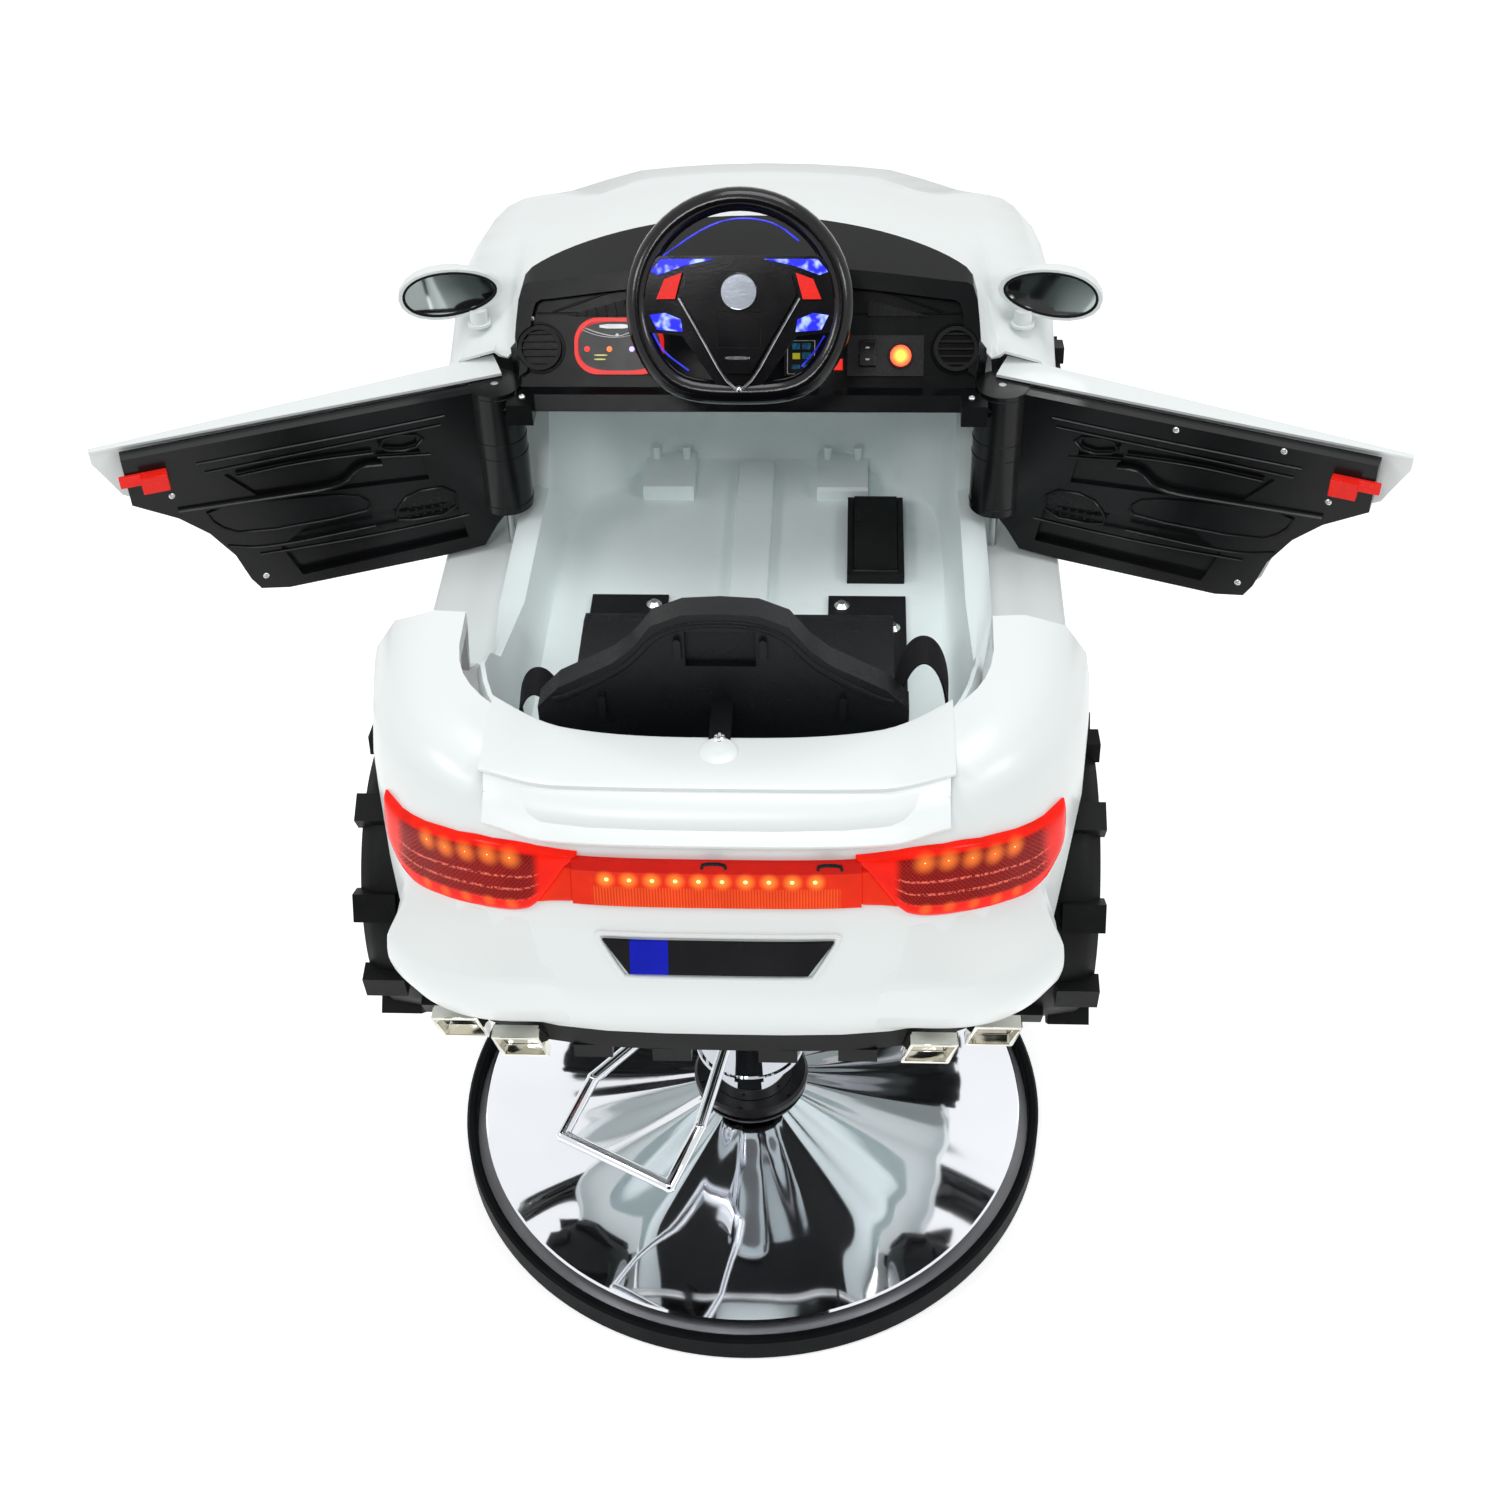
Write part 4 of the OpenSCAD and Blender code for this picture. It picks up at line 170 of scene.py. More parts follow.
class Finish:
    """A material: its Principled shader, Object coordinates, and the maps that vary over the surface."""

    SOCKETS = {"specular": "Specular IOR Level", "metallic": "Metallic", "rough": "Roughness",
               "coat": "Coat Weight", "coat_rough": "Coat Roughness", "colour": "Base Color",
               "glow": "Emission Strength", "glow_colour": "Emission Color"}

    def __init__(self, name, **constants):
        self.material = bpy.data.materials.new(name)
        self.material.use_nodes = True
        self.tree = self.material.node_tree
        self.shader = self.tree.nodes["Principled BSDF"]
        for word, value in constants.items():
            self.shader.inputs[self.SOCKETS[word]].default_value = value
        self.place = Wire(self.tree).node("ShaderNodeTexCoord", out=3)

    def feed(self, socket, wire):
        self.tree.links.new(wire.socket, self.shader.inputs[socket])
        return self

    def cloud(self, scale, detail=3.0, where=None):
        """Noise from 0 to 1, with scale lumps to a metre."""
        values = {"Vector": where or self.place, "Scale": scale, "Detail": detail}
        return self.place.node("ShaderNodeTexNoise", {}, values)

    def tone(self, colour, share, scale):
        """The colour, made darker and lighter by a share of itself in clouds."""
        pair = [tuple(min(c * k, 1.0) for c in colour) for k in (1 - share, 1 + share)]
        return self.cloud(scale).step(0.25, 0.75).mix(*pair)

    def toned(self, colour, share, scale):
        return self.feed("Base Color", self.tone(colour, share, scale))

    def gloss(self, rough, spread, scale):
        return self.feed("Roughness", self.cloud(scale) * (2 * spread) + (rough - spread))

    def relief(self, height, distance, strength=1.0):
        """The surface's fine relief from a height map, distance metres deep."""
        values = {"Strength": strength, "Distance": distance, "Height": height}
        return self.feed("Normal", self.place.node("ShaderNodeBump", {}, values))

    def grained(self, scale, detail, depth, strength=1.0):
        """Relief of that many grains or lumps to a metre."""
        return self.relief(self.cloud(scale, detail), depth, strength)

    def moulded(self, colour, share, scale, rough, spread, grain, depth):
        """Mottled colour, uneven gloss, and grain of that many grains to a metre."""
        return self.toned(colour, share, scale).gloss(rough, spread, scale * 4).grained(grain, 2.0, depth)


def link_mesh(name, points, faces, material, outward=True):
    """An object at the origin from arrays of points and lists of faces, its faces turned outwards."""
    mesh = bpy.data.meshes.new(name)
    mesh.from_pydata(points.tolist(), [], faces)
    if outward:
        shell = bmesh.new()
        shell.from_mesh(mesh)
        bmesh.ops.recalc_face_normals(shell, faces=shell.faces)
        shell.to_mesh(mesh)
        shell.free()
    mesh.materials.append(material)
    thing = bpy.data.objects.new(name, mesh)
    bpy.context.scene.collection.objects.link(thing)
    return thing


# The paper glows a little by itself, so that it shows white under lamps this low
sweep_paper = Finish("sweep_paper", specular=0.1, glow_colour=(1.0, 1.0, 1.0, 1.0), glow=0.52)
sweep_paper.moulded((0.93, 0.93, 0.93), 0.006, 0.8, 0.9, 0.04, 400.0, 0.0001)
reach, below_foot = 14.0, 0.0004
corners = reach * np.array([[-1, -1, 0], [1, -1, 0], [1, 1, 0], [-1, 1, 0]]) - (0.0, 0.0, below_foot)
floor = link_mesh("floor", corners, [[0, 1, 2, 3]], sweep_paper.material, outward=False)

board_cloth = Finish("board_cloth", rough=0.9, specular=0.0).toned((0.012, 0.013, 0.014), 0.3, 1.5)
board_points = np.array([[x, -3.4, z] for x, z in ((-1.7, 0.35), (1.5, 0.35), (1.5, 3.6), (-1.7, 3.6))])
board = link_mesh("board_0", board_points, [[3, 2, 1, 0]], board_cloth.material, outward=False)
board.visible_camera = board.visible_diffuse = False
board.visible_transmission = board.visible_shadow = False


def soft_lamp(name, place, aim, size, power):
    """A square area lamp of that size in metres, turned to its aim."""
    data = bpy.data.lights.new(name, "AREA")
    data.shape, data.size, data.energy = "SQUARE", size, power
    lamp = bpy.data.objects.new(name, data)
    out = unit(np.array(place) - np.array(aim))
    side = unit(np.cross((0.0, 1.0, 0.001), out))
    stand(lamp, side, np.cross(out, side), out, place)
    lamp.visible_camera = False


soft_lamp("lamp_top", (0.2, 0.3, 3.2), (0.0, 0.2, 0.5), 1.3, 26.0)
soft_lamp("lamp_left", (-2.2, -1.3, 2.6), (0.0, 0.1, 0.6), 0.7, 17.0)
soft_lamp("lamp_right", (2.1, -1.2, 2.4), (0.0, 0.1, 0.6), 0.6, 12.0)
soft_lamp("lamp_camera", (-0.35, -1.7, 2.5), (0.0, 0.3, 0.6), 0.45, 9.0)


# Softening of the solids: a moulded or turned part has no facets, so faces that meet
# at a shallow angle are shaded as one, and every true edge stays an edge.
def softener(name, degrees):
    """Geometry nodes that merge doubled points and keep only edges sharper than the angle."""
    group = bpy.data.node_groups.new(name, "GeometryNodeTree")
    group.interface.new_socket("Geometry", in_out="INPUT", socket_type="NodeSocketGeometry")
    group.interface.new_socket("Geometry", in_out="OUTPUT", socket_type="NodeSocketGeometry")
    start = Wire(group, group.nodes.new("NodeGroupInput").outputs[0])
    bare = start.node("GeometryNodeRemoveAttribute", {}, {0: start, "Name": "custom_normal"})
    merged = start.node("GeometryNodeMergeByDistance", {}, {"Geometry": bare, "Distance": 0.00001})
    whole = start.node("GeometryNodeSetShadeSmooth", {"domain": "FACE"}, {"Geometry": merged})
    bend = start.node("GeometryNodeInputMeshEdgeAngle")
    hard = start.node("FunctionNodeCompare", {"data_type": "FLOAT"}, {0: bend, 1: math.radians(degrees)})
    values = {"Geometry": whole, "Selection": hard, "Shade Smooth": False}
    edged = start.node("GeometryNodeSetShadeSmooth", {"domain": "EDGE"}, values)
    end = group.nodes.new("NodeGroupOutput")
    group.links.new(edged.socket, end.inputs[0])
    return group


soft_groups = {angle: softener(f"soften_{angle}", angle) for angle in (32, 44)}


def soften(thing, angle=32):
    thing.modifiers.new("soften", "NODES").node_group = soft_groups[angle]


def eased(thing, width, angle=32):
    """Rounds the true edges of a solid by width metres, as a mould or a press leaves them."""
    soften(thing, angle)
    edge = thing.modifiers.new("edge", "BEVEL")
    edge.width = width
    edge.segments = 2
    edge.limit_method = "ANGLE"
    edge.angle_limit = math.radians(50.0)
    edge.harden_normals = False
    soften(thing, angle)


def dress(finish, *names, angle=32, edge=0.0):
    """Gives those solids the finish, through their material slots."""
    for name in names:
        thing = nodes[name]
        for place in thing.material_slots:
            place.material = finish.material
        if edge:
            eased(thing, edge, angle)
        else:
            soften(thing, angle)


# Foot and cover: a black rubber tread ring with a spun, chromed steel cover sprung into it,
# a black flange screwed down on the middle, and the plate that gives the base its weight.
foot_rubber = Finish("foot_rubber", specular=0.06).moulded(
    (0.0045, 0.0055, 0.0065), 0.35, 14.0, 0.5, 0.12, 900.0, 0.00015)
dress(foot_rubber, "rubber_foot")
plate_steel = Finish("plate_steel", metallic=1.0).moulded(
    (0.24, 0.24, 0.25), 0.2, 9.0, 0.5, 0.1, 600.0, 0.0002)
dress(plate_steel, "base_plate")
chrome = Finish("chrome", metallic=1.0).toned((0.74, 0.76, 0.79), 0.05, 5.0)
chrome.gloss(0.05, 0.03, 7.0).grained(9.0, 1.0, 0.004)
dress(chrome, "outer_tube", "pump_shroud", "pump_lever")

# The cover's metal was spun on a former, which leaves shallow flutes from rim to flange
cover_chrome = Finish("cover_chrome", metallic=1.0).toned((0.88, 0.9, 0.94), 0.05, 4.0)
bearing = cover_chrome.place.vector("MULTIPLY", {1: (1.0, 1.0, 0.0)}).vector("NORMALIZE")
cover_chrome.gloss(0.045, 0.025, 6.0).relief(cover_chrome.cloud(3.0, 0.6, bearing), 0.0042)
dress(cover_chrome, "base_cover")
black_metal = Finish("black_metal", specular=0.3).moulded(
    (0.006, 0.006, 0.007), 0.3, 20.0, 0.32, 0.1, 1400.0, 0.00006)
dress(black_metal, "base_flange", "flange_screws", edge=0.0005)


# Lifting ram and pump head: a ground steel ram, the cast head on its spigot, and the axle steel.
# Grinding leaves rings round the ram, a fine wave along its height.
ram_steel = Finish("ram_steel", metallic=1.0).toned((0.52, 0.53, 0.55), 0.08, 8.0).gloss(0.16, 0.05, 30.0)
ram_steel.relief(ram_steel.place.parts()[2] * 9000.0, 0.00001)
dress(ram_steel, "ram")
cast_head = Finish("cast_head", metallic=0.9).moulded(
    (0.36, 0.37, 0.38), 0.15, 16.0, 0.45, 0.1, 500.0, 0.0003)
dress(cast_head, "pump_head")
zinc = Finish("zinc", metallic=1.0).moulded((0.55, 0.56, 0.56), 0.18, 40.0, 0.36, 0.1, 260.0, 0.0001)
dress(zinc, "rear_axle", "knuckle_left", "knuckle_right", "hinge_pins")


# Subframe: welded channel rails in black powder coat, with its fine orange peel.
frame_black = Finish("frame_black", specular=0.2).moulded(
    (0.007, 0.007, 0.008), 0.3, 12.0, 0.42, 0.08, 800.0, 0.0003)
dress(frame_black, "subframe", edge=0.0008)


# Wheels: blow-moulded black tyres with shoulder lugs, dull on the tread and shinier on
# the walls, on silver plastic rims.
wheel_places = [f"{a}_{b}" for a in ("front", "rear") for b in ("left", "right")]
tyre_black = Finish("tyre_black", specular=0.12).moulded(
    (0.006, 0.0065, 0.007), 0.35, 18.0, 0.46, 0.12, 700.0, 0.00025)
dress(tyre_black, *[f"tyre_{place}" for place in wheel_places], edge=0.0015)
rim_silver = Finish("rim_silver", metallic=0.85, coat=0.4).moulded(
    (0.6, 0.61, 0.63), 0.06, 20.0, 0.3, 0.06, 1500.0, 0.00003)
dress(rim_silver, *[f"rim_{place}" for place in wheel_places], edge=0.001)


# Tub: one pale grey-green moulding, satin, with mould grain and the scuffs of small shoes.
tub_plastic = Finish("tub_plastic", specular=0.4)
scuffs = tub_plastic.cloud(26.0, 6.0).step(0.6, 0.78) * 0.35
clean_tub = tub_plastic.tone((0.86, 0.955, 0.955), 0.03, 4.0)
tub_plastic.feed("Base Color", scuffs.mix(clean_tub, (0.74, 0.82, 0.82)))
tub_plastic.gloss(0.38, 0.1, 30.0).grained(1100.0, 2.0, 0.00022)
dress(tub_plastic, "tub", angle=44)


# Car shells: two white gloss mouldings. The tail carries a raised deck panel whose rear
# edge runs out in a low ducktail over the lamps, and a boss for the seat's screw.
body_white = Finish("body_white", specular=0.5).toned((0.745, 0.79, 0.785), 0.012, 2.0)
body_white.gloss(0.3, 0.05, 6.0).grained(160.0, 1.0, 0.0001, 0.4)
dress(body_white, "front_shell", "rear_shell", angle=44)

BODY_W, TAIL_Y, NOSE_Y, LOW_Z = 0.325, -0.362, 0.855, 0.522
MID_Y, HALF_Y = (NOSE_Y + TAIL_Y) / 2, (NOSE_Y - TAIL_Y) / 2


def ease(t):
    c = np.clip(t, 0.0, 1.0)
    return c * c * (3 - 2 * c)


def deck_height(x):
    """Height of the deck at x: level in the middle, rising to the fenders."""
    return 0.779 + 0.021 * ease((np.abs(x) - 0.13) / 0.095)


def tail_face(share, z, off):
    """Points of the tail's outer face: the plan outline |x/a|^3.4 + |y/b|^6 = 1 at that share of
    the half width, drawn in by the wall's lean at height z and moved off along the normal.
    The lean is straight between the five levels in walls, as the shell was laid up."""
    share, z = np.broadcast_arrays(np.asarray(share, float), np.asarray(z, float))
    x = BODY_W * share
    y = MID_Y - HALF_Y * (1 - np.abs(share) ** 3.4) ** (1 / 6)
    v = (y - MID_Y) / HALF_Y
    nx = 3.4 / BODY_W * np.abs(share) ** 2.4 * np.sign(share)
    ny = 6 / HALF_Y * np.abs(v) ** 5 * np.sign(v)
    size = np.hypot(nx, ny)
    nx, ny = nx / size, ny / size
    side, rear = np.array([0.028, 0.6, 0.005, 0.71]), np.array([0.03, 0.61, 0.032, 0.735])
    form = side + (rear - side) * ease(-ny * 1.05)[..., None]
    low_in, crease, lean_in, top = (part[..., None] for part in np.moveaxis(form, -1, 0))
    walls = np.array([0.0, 0.2, 0.41, 0.7, 1.0])
    wall_z = LOW_Z + (top - LOW_Z) * walls
    below = low_in * (np.maximum(crease - wall_z, 0.0) / (crease - LOW_Z)) ** 1.6
    above = lean_in * np.clip((wall_z - crease) / (top - crease), 0.0, 1.0) ** 0.5
    at_walls = np.where(wall_z < crease, below, above)
    t = (z[..., None] - LOW_Z) / (top - LOW_Z)
    up = np.clip((t - walls[:-1]) / np.diff(walls), 0.0, 1.0)
    inset = at_walls[..., 0] + (up * np.diff(at_walls, axis=-1)).sum(-1) - off
    return np.stack([x - nx * inset, y - ny * inset, z], -1), np.stack([nx, ny, nx * 0.0], -1)


def swept(rows):
    """Solid through rows of closed profiles, with a flat cap on the first and the last."""
    count, sides = rows.shape[:2]
    index = np.arange(count * sides).reshape(count, sides)
    turned = np.roll(index, -1, 1)
    quads = np.stack([index[:-1], turned[:-1], turned[1:], index[1:]], -1).reshape(-1, 4)
    return rows.reshape(-1, 3), quads.tolist() + [index[0][::-1].tolist(), index[-1].tolist()]


def looped(rows):
    """Solid ring through rows of closed profiles, the last row joined to the first."""
    count, sides = rows.shape[:2]
    index = np.arange(count * sides).reshape(count, sides)
    after, turned = np.roll(index, -1, 0), np.roll(index, -1, 1)
    quads = np.stack([index, turned, np.roll(after, -1, 1), after], -1).reshape(-1, 4)
    return rows.reshape(-1, 3), quads.tolist()


def joined(parts):
    """Several (points, faces) pairs as one pair."""
    points, faces, start = [], [], 0
    for some, some_faces in parts:
        points.append(some)
        faces += [[start + k for k in f] for f in some_faces]
        start += len(some)
    return np.concatenate(points), faces


def make_piece(name, finish, parts, body="chassis", angle=32):
    """One object from several closed parts, softly shaded, that rides on that body."""
    thing = link_mesh(name, *joined(parts), finish.material)
    soften(thing, angle)
    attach(thing, body)
    return thing


# Ducktail: rows along x; each profile goes crease, hollow, lip, back down, and under the shell
spans = np.linspace(-1.0, 1.0, 41)
tail_x = 0.186 * spans
crease_y = -0.297 + 0.006 * np.abs(spans) ** 3
lip_y = -0.3375 + 0.0145 * np.abs(spans) ** 3.4
crease_top = deck_height(tail_x) - 0.001
lip_top = 0.7545 + 0.01 * ease((np.abs(spans) - 0.75) / 0.25)
fall = np.linspace(0.0, 1.0, 9)
hollow_y = crease_y[:, None] + (lip_y - crease_y)[:, None] * fall
hollow_z = (crease_top[:, None] + (lip_top - crease_top)[:, None] * fall
            - 0.0028 * np.sin(math.pi * fall) ** 1.5)
under = [(lip_y + 0.0005, lip_top - 0.0018), (lip_y + 0.0035, lip_top - 0.006),
         (lip_y + 0.012, lip_top - 0.012), (crease_y - 0.012, crease_top - 0.012),
         (crease_y + 0.001, crease_top - 0.004)]
profile_y = np.concatenate([hollow_y, np.stack([u[0] for u in under], 1)], 1)
profile_z = np.concatenate([hollow_z, np.stack([u[1] for u in under], 1)], 1)
profile_x = np.repeat(tail_x[:, None], profile_y.shape[1], 1)
ducktail = swept(np.stack([profile_x, profile_y, profile_z], -1))

# Deck panel: a plate 2.4 mm proud of the deck, from the rim behind the seat to the crease
panel_x = 0.19 * spans
front_y = np.maximum(-0.2365 + 0.06 * np.abs(panel_x / 0.227) ** 3, -0.2375)
back_y = -0.2985 + 0.006 * np.abs(spans) ** 3
rows_at = [(0.0, -0.003), (0.01, 0.0014), (0.06, 0.0022), (0.5, 0.0024), (0.95, 0.0024), (1.0, 0.0014),
           (1.0, -0.003)]
panel_rows = np.stack([np.stack([panel_x, front_y + (back_y - front_y) * s,
                                 deck_height(panel_x) + lift * (1 - 0.5 * np.abs(spans) ** 12)], -1)
                       for s, lift in rows_at], 1)
make_piece("tail_deck", body_white, [ducktail, swept(panel_rows)])


def axes_of(normal):
    """The normal at length 1 and two directions square to it."""
    out = unit(np.array(normal, float))
    first = unit(np.cross(out, (0.0, 0.0, 1.0) if abs(out[2]) < 0.9 else (0.0, 1.0, 0.0)))
    return out, first, np.cross(out, first)


def turned_part(centre, normal, radii, heights, sides=24):
    """Solid of revolution about a normal: rings of those radii at those heights over the centre."""
    out, first, second = axes_of(normal)
    around = np.linspace(0.0, 2 * math.pi, sides, endpoint=False)
    ring = np.cos(around)[:, None] * first + np.sin(around)[:, None] * second
    return np.array(centre) + np.array(heights)[:, None, None] * out + np.array(radii)[:, None, None] * ring


def screw(centre, normal, radius):
    """Pan head with a cross recess: a dome whose height drops inside two crossed bars."""
    bar_half, bar_depth = 0.15, 0.34
    shares = np.array([0.03, 0.16, 0.3, 0.44, 0.58, 0.72, 0.86, 0.97, 1.0, 1.0])
    heights = radius * np.array([0.55, 0.55, 0.54, 0.52, 0.49, 0.44, 0.36, 0.24, 0.12, -0.2])
    rows = turned_part(centre, normal, shares * radius, heights)
    out, first, second = axes_of(normal)
    flat = rows - np.array(centre)
    u, v = np.abs(flat @ first) / radius, np.abs(flat @ second) / radius
    inside = (shares < 0.6)[:, None] & ((u < bar_half) | (v < bar_half))
    return swept(rows - inside[..., None] * out * radius * bar_depth)


boss = turned_part((0.0, -0.256, 0.78), (0.0, -0.12, 1.0), [0.004, 0.0135, 0.0155, 0.0165, 0.0195],
                   [0.0032, 0.0032, 0.0022, 0.0, -0.006], 40)
make_piece("seat_boss", body_white, [swept(boss)])


# Tail lamps: red lenses over prism trays, lit from behind by rows of small warm diodes,
# joined by a brighter bar across the tail. Two black clips hold the bar's upper edge.
BOTH_SIDES = ((-1, "left"), (1, "right"))
diodes = [(0.782, 0.715), (0.7275, 0.717), (0.6645, 0.7212), (0.597, 0.7252), (0.5325, 0.7272)]
BAR_START, BAR_PITCH, BAR_Z = -0.08925, 0.01885, 0.716
lens_share = [0.352, 0.385, 0.41, 0.43, 0.455, 0.485, 0.525, 0.58, 0.64, 0.75, 0.82, 0.865,
              0.897, 0.912]
lens_low = [0.734, 0.725, 0.7105, 0.701, 0.687, 0.677, 0.672, 0.669, 0.667, 0.6615, 0.656,
            0.658, 0.672, 0.696]
lens_top = [0.7368, 0.737, 0.7375, 0.738, 0.7385, 0.739, 0.7388, 0.7378, 0.7362, 0.7296, 0.7245,
            0.7212, 0.7195, 0.7185]


def lay_uv(thing, name, values):
    """Gives every point of the mesh its pair of values as a UV map."""
    corner = np.zeros(len(thing.data.loops), np.int32)
    thing.data.loops.foreach_get("vertex_index", corner)
    thing.data.uv_layers.new(name=name).data.foreach_set("uv", values.reshape(-1, 2)[corner].ravel())


def face_plate(name, finish, sign, shares, low, top, off):
    """Plate laid on the tail between two height curves, bellied out to off, with rounded edges.
    Its map gives every point the share of the half width and the share of the height."""
    rim, sunk = 0.0007, -0.004
    t = np.array([0.0, 0.03, 0.08, 0.16, 0.26, 0.38, 0.5, 0.62, 0.74, 0.84, 0.92, 0.97, 1.0, 1.0, 0.0])
    belly = rim + (off - rim) * (1 - np.abs(2 * t[:-2] - 1) ** 7) ** 0.5
    proud = np.append(belly, [sunk, sunk])
    along = np.linspace(0.0, 1.0, len(shares))
    taper = 0.2 + 0.8 * (1 - np.abs(2 * along - 1) ** 24)[:, None]
    z = low[:, None] + (top - low)[:, None] * t
    points, _ = tail_face(sign * shares[:, None], z, np.where(proud > 0, proud * taper, proud))
    plate = make_piece(name, finish, [swept(points)], angle=44)
    lay_uv(plate, "lens", np.stack(np.broadcast_arrays(shares[:, None], t), -1))
    return plate


lamp_red = Finish("lamp_red", glow=1.0, specular=0.08)
across_u, up_v, _ = lamp_red.place.node("ShaderNodeUVMap", {"uv_map": "lens"}).parts()
x_at, y_at, z_at = lamp_red.place.parts()
mirrored = lamp_red.place.node("ShaderNodeCombineXYZ", {}, {0: x_at.size(), 1: y_at, 2: z_at})


def gleam(share, z, radius):
    """1 at that point of either lens, falling to 0 at the radius."""
    spot, _ = tail_face(share, z, 0.006)
    return 1 - mirrored.vector("DISTANCE", {1: tuple(spot.tolist())}, 1).step(0.001, radius)


inner = up_v.step(0.17, 0.24) * (1 - up_v.step(0.88, 0.94)) * across_u.step(0.445, 0.475)
inner = inner * (1 - across_u.step(0.84, 0.875))
prisms = ((x_at * 1850.0).wave() * (z_at * 1500.0).wave()).step(-0.25, 0.5)
tray = (up_v * 34.0 + x_at.size() * 9.0).wave().step(0.7, 0.95)
tray = tray * lamp_red.cloud(420.0, 1.0).step(0.4, 0.58) * inner * (1 - up_v.step(0.62, 0.7))
glow = sum(gleam(share, z, 0.013) + gleam(share, z - 0.046, 0.008) * 0.55 for share, z in diodes)
lens = inner.mix((0.6, 0.012, 0.005), prisms.mix((0.11, 0.001, 0.0005), (0.3, 0.006, 0.002)))
lamp_red.feed("Base Color", (inner * 0.9).mix((0.36, 0.003, 0.001), (0.05, 0.001, 0.0005)))
lit_lens = lens.vector("SCALE", {"Scale": lamp_red.cloud(45.0) * 0.9 + 0.55})
lit = (tray * 0.75).mix(lit_lens, (1.0, 0.2, 0.13))
lamp_red.feed("Emission Color", (glow * 0.9).mix(lit, (1.0, 0.22, 0.03)))
lamp_red.gloss(0.12, 0.03, 40.0).relief(prisms * inner + tray * 0.6, 0.0006)
fine = np.concatenate([np.linspace(0.352, 0.5, 22), np.linspace(0.51, 0.86, 30),
                       np.linspace(0.867, 0.912, 10)])
low_edge, top_edge = (np.interp(fine, lens_share, edge) for edge in (lens_low, lens_top))
smooth = np.array([0.25, 0.5, 0.25])
low_edge[1:-1], top_edge[1:-1] = (np.convolve(edge, smooth, "valid") for edge in (low_edge, top_edge))
for sign, word in BOTH_SIDES:
    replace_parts(face_plate(f"lens_{word}", lamp_red, sign, fine, low_edge, top_edge, 0.007), "tail_lamps")


def distance(first, second):
    """Length of two offsets at right angles: the root of the sum of their squares."""
    return (first * first + second * second) ** 0.5


bar_red = Finish("bar_red", glow=1.0, specular=0.08)
x_at, _, z_at = bar_red.place.parts()
nearest = (((x_at - BAR_START) / BAR_PITCH + 0.5).alone("FRACT") - 0.5) * BAR_PITCH
beyond = ((x_at + 0.0047).size() - 0.0885).step(0.0, 0.01)
bar_glow = (1 - distance(nearest, z_at - BAR_Z).step(0.0008, 0.01)) * (1 - beyond)
band = z_at.step(0.7225, 0.724)
foot_band = (1 - z_at.step(0.7085, 0.7105)) * (1 - (x_at.size() - 0.098).step(0.0, 0.004))
ribs = (x_at * 2600.0).wave().step(-0.2, 0.6) * foot_band
bar_tone = foot_band.mix((0.66, 0.022, 0.006), ribs.mix((0.62, 0.036, 0.007), (0.85, 0.13, 0.02)))
bar_tone = band.mix(bar_tone, (0.46, 0.008, 0.003))
bar_red.feed("Base Color", band.mix((0.36, 0.012, 0.002), (0.28, 0.003, 0.001)))
bar_light = bar_tone.vector("SCALE", {"Scale": bar_red.cloud(40.0) * 0.5 + 0.45})
bar_red.feed("Emission Color", bar_glow.mix(bar_light, (1.0, 0.3, 0.04)))
bar_red.gloss(0.14, 0.04, 30.0).relief(ribs + band * 0.6, 0.0005)
dress(bar_red, "light_bar", angle=44)
wing_share = np.linspace(0.3635, 0.47, 20)
wing_low = np.linspace(0.6888, 0.6868, 20)
wing_top = np.maximum(np.interp(wing_share, fine, low_edge) + 0.0012, wing_low + 0.0012)
for sign, word in BOTH_SIDES:
    face_plate(f"bar_wing_{word}", bar_red, sign, wing_share, wing_low, wing_top, 0.0052)

# Tail corners: below the lamps the moulding swells into a soft bumper corner behind each wheel.
corner_share = np.concatenate([np.linspace(0.4, 0.82, 36), np.linspace(0.826, 0.862, 9)])[:, None]
corner_t = np.append(np.linspace(0.0, 1.0, 25), [1.0, 0.0])
swell = ease((corner_share - 0.4) / 0.42) * (1 - 0.75 * ease((corner_share - 0.835) / 0.027))
swell = swell * ease(corner_t / 0.1) ** 0.6 * (1 - ease((corner_t - 0.36) / 0.64))
corner_off = np.where(np.arange(27) < 25, 0.03 * swell - 0.0006, -0.004)
for sign, word in BOTH_SIDES:
    corner_rows, _ = tail_face(sign * corner_share, 0.5235 + 0.138 * corner_t, corner_off)
    make_piece(f"tail_corner_{word}", body_white, [swept(corner_rows)], angle=44)

diode_warm = Finish("diode_warm", glow=1.9, colour=(0.5, 0.2, 0.02, 1.0)).gloss(0.15, 0.05, 200.0)
diode_warm.feed("Emission Color", diode_warm.cloud(300.0).mix((1.0, 0.62, 0.16), (1.0, 0.8, 0.34)))
bead_radii, bead_heights = np.array([[0.06, 0.5, 0.84, 1.0, 1.0], [1.0, 0.85, 0.45, 0.0, -0.4]])


def bead(centre, normal, radius, high):
    """A small lens: rings on an ellipse, closed underneath."""
    return swept(turned_part(centre, normal, bead_radii * radius, bead_heights * high, 14))


beads = [bead(*tail_face(sign * share, z, 0.0058), 0.0016, 0.0011)
         for share, z in diodes for sign in (-1, 1)]
beads += [bead(*tail_face((BAR_START + BAR_PITCH * k) / BODY_W, BAR_Z, 0.0058), 0.0019, 0.0012)
          for k in range(10)]
make_piece("diode_row", diode_warm, beads)


